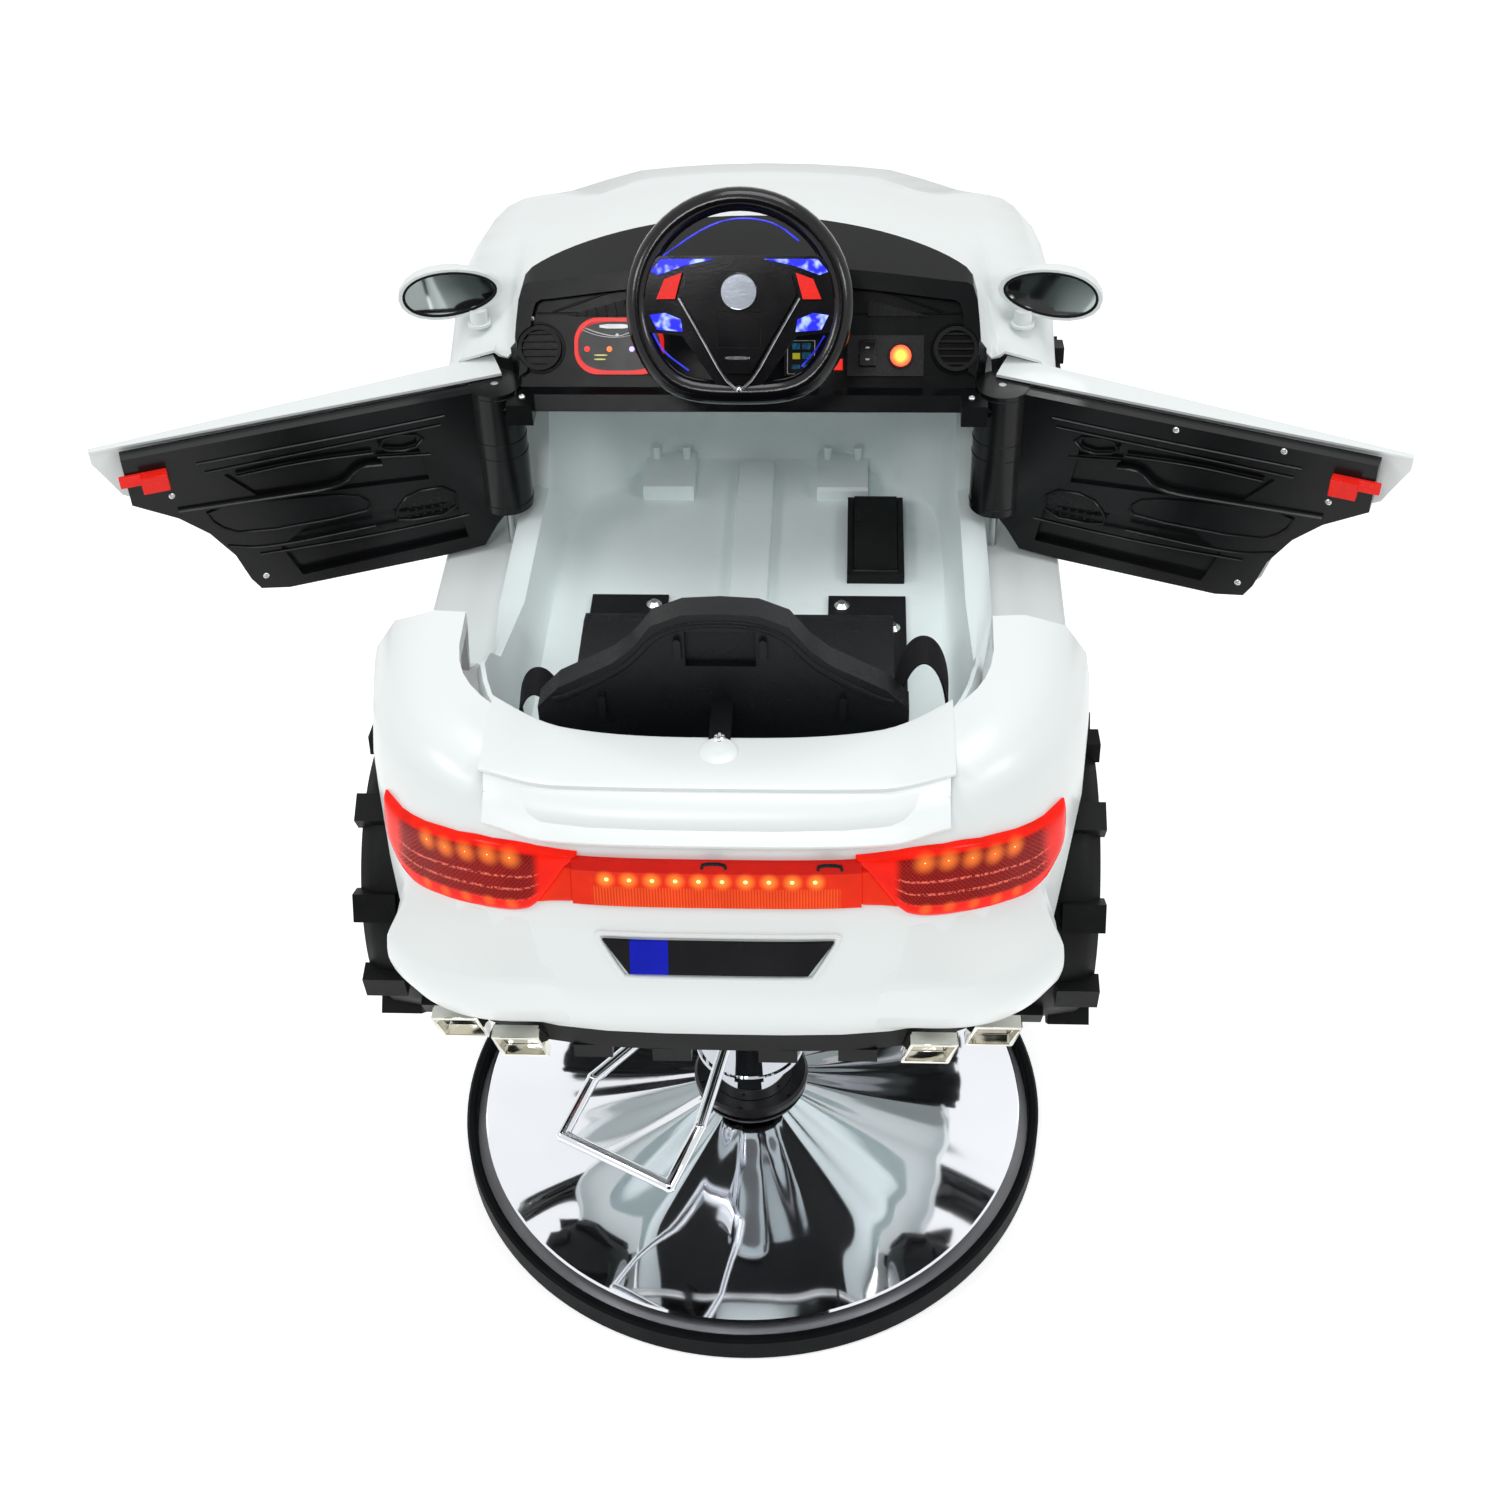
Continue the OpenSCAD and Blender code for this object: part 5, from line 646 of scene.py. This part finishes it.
def plane(origin, first, second, out):
    """Maps (u, v, h) on a flat face to points: origin + u first + v second + h out."""
    origin, first, second, out = (np.array(a, float) for a in (origin, first, second, out))

    def place(u, v, h):
        u, v, h = np.broadcast_arrays(*(np.asarray(a, float) for a in (u, v, h)))
        return origin + u[..., None] * first + v[..., None] * second + h[..., None] * out

    place.out = out
    return place


def rounded(points, closed=False, times=2):
    """A polyline whose corners are cut to quarter points, each time over."""
    line = np.array(points, float)
    for _ in range(times):
        after = np.roll(line, -1, 0) if closed else line[1:]
        before = line if closed else line[:-1]
        cut = np.stack([0.75 * before + 0.25 * after, 0.25 * before + 0.75 * after], 1)
        cut = cut.reshape(-1, line.shape[1])
        line = cut if closed else np.concatenate([line[:1], cut, line[-1:]])
    return line


def rib(path, out, half_w, half_h, closed=False):
    """A rounded rib: an ellipse carried along a path, half of it sunk in the face whose normal is out."""
    along = np.roll(path, -1, 0) - np.roll(path, 1, 0) if closed else np.gradient(path, axis=0)
    side = np.cross(out, unit(along))[:, None]
    around = np.linspace(0.0, 2 * math.pi, 10, endpoint=False)[None, :, None]
    normal = np.broadcast_to(out, path.shape)[:, None]
    rows = path[:, None] + half_w * np.cos(around) * side + half_h * np.sin(around) * normal
    return looped(rows) if closed else swept(rows)


def raised(face, points, half_w, half_h, lift=0.0, closed=False, times=2):
    """A rib on a flat face along a line of (u, v) points, its corners rounded."""
    line = rounded(points, closed, times)
    return rib(face(line[:, 0], line[:, 1], lift), face.out, half_w, half_h, closed)


def slab(face, points, low, high, ease_w=0.0006, times=1):
    """A flat plate with that outline between two heights, its upper edge drawn in by ease_w."""
    line = rounded(points, True, times)
    middle = line.mean(0)
    reach_to = np.linalg.norm(line - middle, axis=1, keepdims=True)
    drawn = middle + (line - middle) * (1 - ease_w / np.maximum(reach_to, 1e-6))
    levels = ((line, low), (line, high - ease_w), (drawn, high))
    return swept(np.stack([face(edge[:, 0], edge[:, 1], h) for edge, h in levels]))


def box_line(u0, v0, u1, v1):
    """The four corners of a rectangle, in order."""
    return [(u0, v0), (u1, v0), (u1, v1), (u0, v1)]


def round_line(u, v, radius):
    """Twenty-four points of a circle about (u, v)."""
    around = np.linspace(0.0, 2 * math.pi, 24, endpoint=False)
    return np.stack([u + radius * np.cos(around), v + radius * np.sin(around)], 1)


trim_black = Finish("trim_black", specular=0.15).moulded(
    (0.006, 0.0065, 0.007), 0.3, 25.0, 0.36, 0.09, 900.0, 0.00016)
tail_plane = plane((0.0, -0.3372, 0.735), (1, 0, 0), (0, 0, 1), (0, -1, 0))
clips = [raised(tail_plane, [(x - 0.0095, -0.0055), (x - 0.0085, -0.0005), (x + 0.0085, -0.0005),
                             (x + 0.0095, -0.0055)], 0.0014, 0.0018, times=1) for x in (-0.0015, 0.0913)]
make_piece("bar_clips", trim_black, clips)


# Number plate: a gloss black trapezoid with a plain blue field and nothing written on it,
# let into a shallow white frame. The undertray and its fins are black, the tips are chromed.
plate_black = Finish("plate_black", specular=0.12)
x_at, _, _ = plate_black.place.parts()
field = x_at.step(-0.0726, -0.0722) * (1 - x_at.step(-0.041, -0.0406))
plate_black.feed("Base Color", field.mix(plate_black.tone((0.01, 0.01, 0.012), 0.2, 30.0),
                                         plate_black.tone((0.004, 0.01, 0.42), 0.08, 40.0)))
plate_black.gloss(0.26, 0.05, 50.0).grained(500.0, 1.0, 0.00004)
dress(plate_black, "number_plate", edge=0.0006)
outline = rounded([(-0.1015, 0.6585), (-0.0985, 0.6585), (0.0985, 0.6585), (0.1015, 0.6585),
                   (0.079, 0.6225), (0.076, 0.6215), (-0.076, 0.6215), (-0.079, 0.6225)], True)
rim_path, rim_out = tail_face(outline[:, 0] / BODY_W, outline[:, 1], 0.0)
make_piece("plate_frame", body_white, [rib(rim_path, rim_out, 0.0024, 0.0022, True)])
dress(trim_black, "diffuser", "grille", edge=0.001)
tip_chrome = Finish("tip_chrome", metallic=1.0).toned((0.7, 0.69, 0.63), 0.15, 25.0)
tip_chrome.gloss(0.1, 0.05, 40.0).grained(28.0, 1.0, 0.005)
dress(tip_chrome, "exhaust_tips", edge=0.0012)


# Head lamps: clear lenses over a silvered, ribbed reflector.
lamp_clear = Finish("lamp_clear", coat=1.0, coat_rough=0.02, metallic=0.6)
ribs_and_sheen = (lamp_clear.place.parts()[0] * 900.0).wave().step(-0.5, 0.7)
# The reflector's colour is lighter on each rib and darker between them: painted highlights and painted shade
# along the ribs.
lamp_clear.feed("Base Color", ribs_and_sheen.mix((0.42, 0.45, 0.47), (0.82, 0.85, 0.87)))
lamp_clear.gloss(0.12, 0.04, 60.0).relief(ribs_and_sheen, 0.0008)
dress(lamp_clear, "headlamps", angle=44)


# Seat: one black blow-moulded shell with fine grain, a raised bead inside its outline,
# hung on the deck by a tab and one pan-head screw.
seat_black = Finish("seat_black", specular=0.22).toned((0.0055, 0.0065, 0.0075), 0.25, 9.0)
seat_grain = seat_black.cloud(1500.0, 3.0) + seat_black.cloud(420.0, 1.0) * 0.6
seat_black.gloss(0.26, 0.07, 40.0).relief(seat_grain, 0.00028)
dress(seat_black, "seat", edge=0.0022)
seat_face = plane((0.0, -0.196, 0.745), (1, 0, 0), (0, 0, 1), (0, -1, 0))
half_line = [(0.0, 0.121), (0.029, 0.119), (0.053, 0.108), (0.067, 0.089), (0.083, 0.072), (0.128, 0.044),
             (0.141, 0.04)]
bead_line = [(-x, z) for x, z in half_line[:0:-1]] + half_line
make_piece("seat_bead", seat_black, [raised(seat_face, bead_line, 0.003, 0.0022)])
screw_steel = Finish("screw_steel", metallic=1.0).moulded(
    (0.7, 0.71, 0.7), 0.12, 90.0, 0.24, 0.06, 900.0, 0.00004)
make_piece("seat_screw", screw_steel, [screw((0.0, -0.241, 0.7833), (0, 0, 1), 0.0056)])


# Belts: black woven nylon webbing. Each comes up beside the seat, turns over in a loop
# that its own stiffness holds up, and hangs down again, with a stitched selvedge.
BELT_HALF, BELT_SKIN, BELT_X, BELT_Y = 0.017, 0.0009, 0.1463, -0.146
webbing = Finish("webbing", specular=0.1)
across_at, along_at, _ = webbing.place.node("ShaderNodeUVMap", {"uv_map": "weave"}).parts()
weft = (along_at * 4200.0).wave()
warp = (across_at * 3300.0 + (along_at * 668.0).alone("FLOOR") * 3.1416).wave()
weave = (weft * 0.6 + warp * 0.6).step(-0.9, 0.9)
selvedge = (across_at - BELT_HALF).size().step(0.0142, 0.015)
webbing.feed("Base Color", weave.mix((0.003, 0.003, 0.0035), (0.014, 0.014, 0.016)))
webbing.feed("Roughness", 0.62 - selvedge * 0.14)
webbing.relief(weave * (1 - selvedge) + selvedge * weft * 0.4, 0.0004)


def belt_strip(word, side, width, low, rise_z, end):
    """Webbing 34 mm wide: up from the seat well, a half turn of that width and rise, then down to end."""
    turn_at = np.linspace(0.0, math.pi, 33)
    up_z, down_z = np.linspace(0.654, low, 9)[:-1], np.linspace(low, end, 8)[1:]
    x = np.concatenate([up_z * 0, width * (1 - np.cos(turn_at)) / 2, down_z * 0 + width]) + BELT_X
    z = np.concatenate([up_z, low + rise_z * np.sin(turn_at), down_z])
    path = np.stack([x, z * 0 + BELT_Y, z], -1)
    along = unit(np.gradient(path, axis=0))
    out = np.cross(along, (0.0, 1.0, 0.0))
    path = path + out * BELT_SKIN
    run = np.append(0.0, np.cumsum(np.linalg.norm(np.diff(path, axis=0), axis=1)))
    ring = np.array([(-BELT_HALF, 0.0), (-0.0164, BELT_SKIN), (0.0, BELT_SKIN), (0.0164, BELT_SKIN),
                     (BELT_HALF, 0.0), (0.0164, -BELT_SKIN), (0.0, -BELT_SKIN), (-0.0164, -BELT_SKIN)])
    twist = 0.1 * np.sin(run / run[-1] * math.pi)[:, None]
    wide = np.cos(twist) * np.array([0.0, 1.0, 0.0]) + np.sin(twist) * out
    thick = np.cross(along, wide)
    rows = path[:, None] + ring[None, :, :1] * wide[:, None] + ring[None, :, 1:] * thick[:, None]
    strap = make_piece(f"strap_{word}", webbing, [swept(rows * np.array([side, 1.0, 1.0]))],
                       angle=44)
    lay_uv(strap, "weave", np.stack(np.broadcast_arrays(ring[None, :, 0] + BELT_HALF, run[:, None]), -1))
    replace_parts(strap, f"belt_{word}")


belt_strip("right", 1.0, 0.042, 0.738, 0.062, 0.706)
belt_strip("left", -1.0, 0.034, 0.716, 0.046, 0.696)


# Floor fittings: two painted steel plates bolted through to the rails with domed heads,
# and the foot switch, a gloss pedal in its frame.
dress(frame_black, "mount_plates", edge=0.0006)
bolt_bright = Finish("bolt_bright", metallic=1.0).moulded(
    (0.74, 0.75, 0.74), 0.1, 60.0, 0.2, 0.06, 700.0, 0.00005)
dress(bolt_bright, "plate_bolts", edge=0.0008)
pedal_black = Finish("pedal_black", specular=0.22).toned((0.0045, 0.0045, 0.005), 0.3, 30.0)
pedal_black.gloss(0.24, 0.08, 60.0).grained(700.0, 2.0, 0.0001)
dress(pedal_black, "pedal", edge=0.001)
dress(trim_black, "pedal_frame", edge=0.0012)


# Dash: a black moulding with an arched hood, a stepped ledge with slatted brows over the
# round vents, and steel screws at its ends and in the two brackets.
dash_black = Finish("dash_black", specular=0.09).moulded(
    (0.004, 0.0045, 0.005), 0.3, 14.0, 0.2, 0.06, 1200.0, 0.00007)
dress(dash_black, "dash", edge=0.0018)
dress(trim_black, "air_vents", edge=0.0004)
FASCIA_Y, FASCIA_Z, slope = 0.275, 0.775, math.radians(55.2)
fascia = plane((0.0, FASCIA_Y, FASCIA_Z), (1, 0, 0), (0, math.cos(slope), math.sin(slope)),
               (0, -math.sin(slope), math.cos(slope)))
dash_lines = [raised(fascia, [(-0.222, 0.0896), (0.222, 0.0896)], 0.001, 0.0012, times=0)]
brow = [(0.196, 0.0905), (0.172, 0.0985), (0.148, 0.1075), (0.122, 0.1145), (0.086, 0.1175)]
for side in (-1, 1):
    dash_lines.append(raised(fascia, [(side * u, v) for u, v in brow], 0.0012, 0.0016))
    vent_ring = round_line(side * 0.208, 0.055, 0.0245)
    dash_lines.append(raised(fascia, vent_ring, 0.0012, 0.0014, closed=True, times=1))
make_piece("dash_relief", dash_black, dash_lines)
dash_screws = [screw(fascia(u, v, 0.0), fascia.out, 0.003)
               for u, v in ((-0.2165, 0.0842), (0.2208, 0.0831))]
dash_screws += [screw((x, 0.2655, 0.789), (0, 0, 1), 0.0036) for x in (-0.2245, 0.2235)]
make_piece("dash_screws", screw_steel, dash_screws)


# Media panel: a red rim round a black face with pale swooshes, a blank label and small lights.
def on_fascia(finish):
    """Across and up the fascia, in metres, as two Wires."""
    x, y, z = finish.place.parts()
    return x, (y - FASCIA_Y) * math.cos(slope) + (z - FASCIA_Z) * math.sin(slope)


panel_red = Finish("panel_red", specular=0.12, glow=1.0)
x_at, s_at = on_fascia(panel_red)
dx, ds = (x_at + 0.128).size() / 0.0412, (s_at - 0.057).size() / 0.0242
face_mask = 1 - (dx ** 3.2 + ds ** 2.6).step(0.97, 1.0)
face_tone, light_tone = panel_red.tone((0.01, 0.01, 0.012), 0.2, 40.0), (0.0, 0.0, 0.0)
for x, colour in ((-0.1604, (1.0, 0.02, 0.01)), (-0.1379, (1.0, 0.16, 0.02)), (-0.1154, (0.45, 0.4, 1.0)),
                  (-0.0929, (1.0, 0.02, 0.01))):
    on = (1 - distance(x_at - x, s_at - 0.0542).step(0.0024, 0.003)) * face_mask
    face_tone, light_tone = on.mix(face_tone, colour), on.mix(light_tone, colour)
panel_red.feed("Base Color", face_mask.mix(panel_red.tone((0.8, 0.012, 0.008), 0.05, 30.0), face_tone))
# The red rim also glows faintly by itself: painted light that keeps it bright.
panel_red.feed("Emission Color", face_mask.mix((0.1, 0.0, 0.0), light_tone)).gloss(0.18, 0.05, 60.0)
dress(panel_red, "media_panel", edge=0.0008)

print_silver = Finish("print_silver", metallic=0.4).moulded(
    (0.5, 0.52, 0.53), 0.1, 80.0, 0.35, 0.05, 900.0, 0.00002)
panel_top = 0.0033
marks = [raised(fascia, [(-0.1659, 0.0763), (-0.1497, 0.0699), (-0.1301, 0.0661), (-0.1187, 0.07),
                         (-0.096, 0.0772)], 0.0005, 0.0003, panel_top),
         raised(fascia, [(-0.1665, 0.0735), (-0.15, 0.0672), (-0.1301, 0.065), (-0.113, 0.0685),
                         (-0.092, 0.0745)], 0.0003, 0.0003, panel_top),
         slab(fascia, box_line(-0.148, 0.0744, -0.117, 0.0788), panel_top - 0.0006, panel_top + 0.0004,
              0.0002),
         swept(turned_part(fascia(-0.1301, 0.068, panel_top), fascia.out, [0.0004, 0.0016, 0.0019, 0.0019],
                           [0.0009, 0.0008, 0.0004, -0.0005], 16))]
make_piece("media_marks", print_silver, marks)
bar_yellow = Finish("bar_yellow", glow=0.8, colour=(0.04, 0.03, 0.0, 1.0)).gloss(0.3, 0.05, 90.0)
bar_yellow.feed("Emission Color", bar_yellow.cloud(300.0).mix((0.72, 0.6, 0.1), (0.85, 0.8, 0.22)))
level_bars = [slab(fascia, box_line(-0.1533, v - 0.0007, u, v + 0.0007), panel_top - 0.0006,
                   panel_top + 0.0005, 0.0002) for u, v in ((-0.14, 0.0482), (-0.1416, 0.0441))]
make_piece("media_bars", bar_yellow, level_bars)


# Display and switches: a small lit screen, a red rocker beside it, and a black plate with
# an up and down rocker and the amber start button.
switch_black = Finish("switch_black", specular=0.2).moulded(
    (0.01, 0.01, 0.011), 0.25, 30.0, 0.26, 0.07, 900.0, 0.00008)
dress(switch_black, "switch_panel", "rocker", edge=0.0006)
screen_blue = Finish("screen_blue", glow=0.6, colour=(0.0, 0.01, 0.02, 1.0), specular=0.2)
cell = screen_blue.place.node("ShaderNodeTexVoronoi", {"distance": "CHEBYCHEV"},
                              {"Vector": screen_blue.place, "Scale": 420.0})
screen_blue.feed("Emission Color", cell.step(0.15, 0.5).mix((0.01, 0.16, 0.3), (0.02, 0.05, 0.09)))
screen_blue.gloss(0.15, 0.04, 90.0)
screen_top, cell_half = 0.0055, 0.004
screen_parts = [slab(fascia, box_line(u - w, v - h, u + w, v + h), screen_top - 0.0012, screen_top + 0.0003,
                     0.0002, 0)
                for u, v, w, h in ((0.049, 0.057, cell_half, 0.003), (0.0592, 0.057, 0.0042, 0.003),
                                   (0.0592, 0.048, 0.0042, 0.0032), (0.049, 0.037, cell_half, 0.0022),
                                   (0.06, 0.037, cell_half, 0.0022))]
make_piece("screen_cells", screen_blue, screen_parts)
make_piece("screen_frame", print_silver, [raised(
    fascia, box_line(0.0405, 0.03, 0.0675, 0.0625), 0.0004, 0.0004, screen_top, True, 0)])
green_cell = Finish("green_cell", glow=0.6, colour=(0.03, 0.02, 0.0, 1.0)).gloss(0.2, 0.05, 90.0)
green_cell.feed("Emission Color", green_cell.cloud(260.0).mix((0.3, 0.42, 0.02), (0.62, 0.5, 0.04)))
make_piece("screen_mark", green_cell, [slab(
    fascia, box_line(0.0455, 0.0445, 0.053, 0.0505), screen_top - 0.001, screen_top + 0.0003, 0.0002, 0)])

# The rocker also glows faintly red by itself: painted light that keeps it bright red.
rocker_red = Finish("rocker_red", coat=0.4, glow=0.25, glow_colour=(1.0, 0.03, 0.01, 1.0)).moulded(
    (0.85, 0.02, 0.01), 0.06, 60.0, 0.22, 0.05, 900.0, 0.00004)
make_piece("red_rocker", rocker_red, [slab(
    fascia, box_line(0.0866, 0.0337, 0.0956, 0.0449), -0.001, 0.0052, 0.0008, 0)])
make_piece("rocker_collar", switch_black, [raised(
    fascia, box_line(0.0846, 0.0317, 0.0976, 0.0469), 0.001, 0.0016, 0.0, True, 1)])
arrows = [slab(fascia, [(0.1175, 0.05 + k * 0.005), (0.1225, 0.05 + k * 0.005),
                        (0.12, 0.05 + k * 0.0088)], 0.006, 0.0094, 0.0002, 0) for k in (-1, 1)]
make_piece("rocker_arrows", print_silver, arrows, "rocker")

BUTTON_U, BUTTON_V = 0.153, 0.048
button_amber = Finish("button_amber", coat=0.6, coat_rough=0.05, glow=1.5)
x_at, s_at = on_fascia(button_amber)
warm = 1 - distance(x_at - BUTTON_U, s_at - BUTTON_V).step(0.0015, 0.01)
button_amber.feed("Emission Color", warm.mix((0.95, 0.05, 0.01), (1.0, 0.52, 0.03)))
button_amber.feed("Base Color", warm.mix((0.85, 0.1, 0.02), (1.0, 0.55, 0.08)))
button_amber.gloss(0.2, 0.05, 90.0).grained(900.0, 1.0, 0.00008)
dress(button_amber, "start_button", edge=0.0012)
make_piece("start_collar", switch_black, [raised(
    fascia, round_line(BUTTON_U, BUTTON_V, 0.0122), 0.0012, 0.0014, 0.0053, True, 1)])


# Steering wheel: a thick gloss rim with a flat foot, a shield of a hub with silver edges,
# a plain satin disc, red paddles, and blue lamps that shine through windows and along seams.
WHEEL_Y, WHEEL_Z, WHEEL_UP, WHEEL_BACK, DISC_V = 0.2, 0.93, 0.5, 0.866, 0.0114
wheel_gloss = Finish("wheel_gloss", specular=0.36)
x_at, y_at, z_at = wheel_gloss.place.parts()
v_at = (y_at - WHEEL_Y) * WHEEL_UP + (z_at - WHEEL_Z) * WHEEL_BACK
h_at = (y_at - WHEEL_Y) * -WHEEL_BACK + (z_at - WHEEL_Z) * WHEEL_UP
disc = (1 - distance(x_at, v_at - DISC_V).step(0.0158, 0.0162)) * h_at.step(0.0145, 0.015)
wheel_gloss.feed("Base Color", disc.mix(wheel_gloss.tone((0.0035, 0.0035, 0.0045), 0.3, 12.0),
                                        wheel_gloss.tone((0.55, 0.6, 0.68), 0.05, 60.0)))
wheel_gloss.feed("Metallic", disc * 0.7).gloss(0.15, 0.05, 30.0).grained(500.0, 2.0, 0.00004)
dress(wheel_gloss, "steering_wheel", edge=0.0012)
wheel_face = plane((0.0, WHEEL_Y, WHEEL_Z), (1, 0, 0), (0, WHEEL_UP, WHEEL_BACK), (0, -WHEEL_BACK, WHEEL_UP))

edge_silver = Finish("edge_silver", metallic=0.9).moulded(
    (0.42, 0.43, 0.45), 0.2, 60.0, 0.16, 0.06, 900.0, 0.00003)
hub_edge = [(0.0555, 0.006), (0.0345, -0.03), (0.0145, -0.066), (0.003, -0.077)]
trims = [raised(wheel_face, [(side * u, v) for u, v in hub_edge], 0.0014, 0.0016, 0.01, times=1)
         for side in (-1, 1)]
trims += [slab(wheel_face, box_line(-0.0123, -0.05, 0.0103, -0.0468), 0.0135, 0.0154, 0.0003),
          bead(wheel_face(0.0, -0.0775, 0.0085), wheel_face.out, 0.0042, 0.0036)]
make_piece("hub_trim", edge_silver, trims, "steering")
disc_radii, disc_heights = [0.0172, 0.0172, 0.0163, 0.0156, 0.0156], [-0.002, 0.0004, 0.0009, 0.0004, -0.002]
disc_rows = turned_part(wheel_face(0.0, DISC_V, 0.0164), wheel_face.out, disc_radii, disc_heights, 40)
make_piece("disc_rim", wheel_gloss, [looped(disc_rows)], "steering")

lamp_blue = Finish("lamp_blue", glow=2.0, specular=0.3)
core = lamp_blue.cloud(110.0, 1.5).step(0.44, 0.66)
lamp_blue.feed("Emission Color", core.mix((0.012, 0.014, 0.8), (0.26, 0.34, 1.0)))
lamp_blue.feed("Base Color", core.mix((0.01, 0.01, 0.2), (0.1, 0.12, 0.3))).gloss(0.15, 0.04, 80.0)
dress(lamp_blue, "wheel_lights", edge=0.0004)
seam_blue = Finish("seam_blue", glow=1.3, colour=(0.0, 0.0, 0.05, 1.0)).gloss(0.2, 0.05, 80.0)
seam_glow = seam_blue.cloud(60.0).step(0.3, 0.7)
seam_blue.feed("Emission Color", seam_glow.mix((0.004, 0.006, 0.35), (0.03, 0.04, 1.0)))
seams = [[(-0.07, 0.044), (-0.039, 0.065), (-0.017, 0.075), (0.007, 0.078), (0.034, 0.073),
          (0.055, 0.057)],
         [(-0.08, -0.026), (-0.071, -0.043), (-0.047, -0.06)],
         [(0.079, -0.028), (0.07, -0.043), (0.058, -0.056)]]
make_piece("light_seams", seam_blue,
           [raised(wheel_face, seam, 0.0008, 0.0008, 0.0062) for seam in seams], "steering")
paddle_red = Finish("paddle_red", specular=0.2).moulded(
    (0.8, 0.016, 0.01), 0.05, 50.0, 0.26, 0.06, 900.0, 0.00005)
dress(paddle_red, "button_left", "button_right", "latch_left", "latch_right", edge=0.0008)


# Doors: white outer skins with black inner panels, whose relief is moulded in: a long
# arrow of ribs, a pull, an arm rest, a pocket, a speaker patch and rings round the barrel.
dress(body_white, "door_left", "door_right", angle=44)
door_black = Finish("door_black", specular=0.24).moulded(
    (0.0045, 0.005, 0.0055), 0.3, 12.0, 0.2, 0.06, 1100.0, 0.00008)
dress(door_black, "panel_left", "panel_right", edge=0.0025)
HINGE_X, HINGE_Y, PANEL_H = 0.255, 0.287, 0.009


def side_plane(side, place, angle):
    """An upright face on that side of the car, facing back and swung inwards by an angle."""
    c, s = math.cos(angle), math.sin(angle)
    return plane((side * place[0], *place[1:]), (side * c, -s, 0), (0, 0, 1), (-side * s, -c, 0))


ribs_on_door = [
    [(0.056, 0.771), (0.153, 0.77), (0.303, 0.771)],
    [(0.061, 0.7615), (0.182, 0.7606), (0.297, 0.7597)],
    [(0.0756, 0.7296), (0.129, 0.7385)],
    [(0.1328, 0.7445), (0.201, 0.7501), (0.2685, 0.7486)],
    [(0.142, 0.6577), (0.2529, 0.6574), (0.2912, 0.6695)],
    [(0.045, 0.6475), (0.155, 0.6462), (0.262, 0.652)],
]
loops_on_door = [
    [(0.0765, 0.7544), (0.1179, 0.761), (0.1268, 0.7471), (0.0926, 0.7381)],
    [(0.1577, 0.701), (0.1417, 0.6859), (0.1501, 0.6758), (0.2722, 0.679), (0.298, 0.696),
     (0.3056, 0.719), (0.23, 0.713)],
    [(0.0565, 0.687), (0.1013, 0.6895), (0.12, 0.67), (0.1173, 0.656), (0.056, 0.654)],
]
arm_line = [(0.1255, 0.7299), (0.1497, 0.733), (0.168, 0.7133), (0.238, 0.7175), (0.3084, 0.7215),
            (0.3305, 0.7226)]
door_screw_at = {1: [(0.1789, 0.7859), (0.2836, 0.7866), (0.333, 0.741), (0.2608, 0.6247)],
                 -1: [(0.2608, 0.6247), (0.333, 0.741)]}
for side, word in BOTH_SIDES:
    inner_face = side_plane(side, (HINGE_X, HINGE_Y, 0.0), math.radians(21.0))
    parts = [raised(inner_face, line, 0.0017, 0.0026, PANEL_H) for line in ribs_on_door]
    parts += [raised(inner_face, line, 0.0017, 0.0026, PANEL_H, True, 1) for line in loops_on_door]
    parts.append(raised(inner_face, arm_line, 0.003, 0.0062, 0.0085))
    parts += [bead(inner_face(u, v, PANEL_H), inner_face.out, 0.0015, 0.0009)
              for row, v in enumerate((0.66, 0.667, 0.674, 0.681))
              for u in np.arange(0.064, 0.1135 - 0.004 * (row > 1), 0.0085)]
    parts += [looped(turned_part((side * HINGE_X, HINGE_Y, z), (0, 0, 1), [0.0262, 0.0276, 0.0276, 0.0262],
                                 [-0.0012, -0.0006, 0.0006, 0.0012], 40))
              for z in (0.656, 0.715, 0.733, 0.786)]
    make_piece(f"door_relief_{word}", door_black, parts, f"door_{word}")
    heads = [screw(inner_face(u, v, PANEL_H), inner_face.out, 0.0034) for u, v in door_screw_at[side]]
    make_piece(f"door_screws_{word}", screw_steel, heads, f"door_{word}")


# Door mirrors: white egg-shaped shells on a foot, each with silvered glass in a black gasket.
dress(body_white, "mirror_left", "mirror_right", angle=44)
mirror_silver = Finish("mirror_silver", metallic=1.0).toned((0.62, 0.65, 0.64), 0.06, 12.0)
mirror_silver.gloss(0.05, 0.02, 20.0).grained(8.0, 1.0, 0.0016)
dress(mirror_silver, "mirror_glass_left", "mirror_glass_right")
around, cut = np.linspace(0.0, 2 * math.pi, 40, endpoint=False), math.radians(88.0)
glass_u = 0.053 * 0.88 * math.sin(cut) * np.cos(around) * (1 - 0.12 * np.cos(around))
glass_v = 0.028 * 0.84 * math.sin(cut) * np.sin(around)
for side, word in BOTH_SIDES:
    glass_face = side_plane(side, (0.308, 0.352, 0.856), math.radians(14.0))
    make_piece(f"gasket_{word}", trim_black, [raised(
        glass_face, np.stack([glass_u, glass_v], 1), 0.0016, 0.0012, 0.0021, True, 0)], f"mirror_{word}")
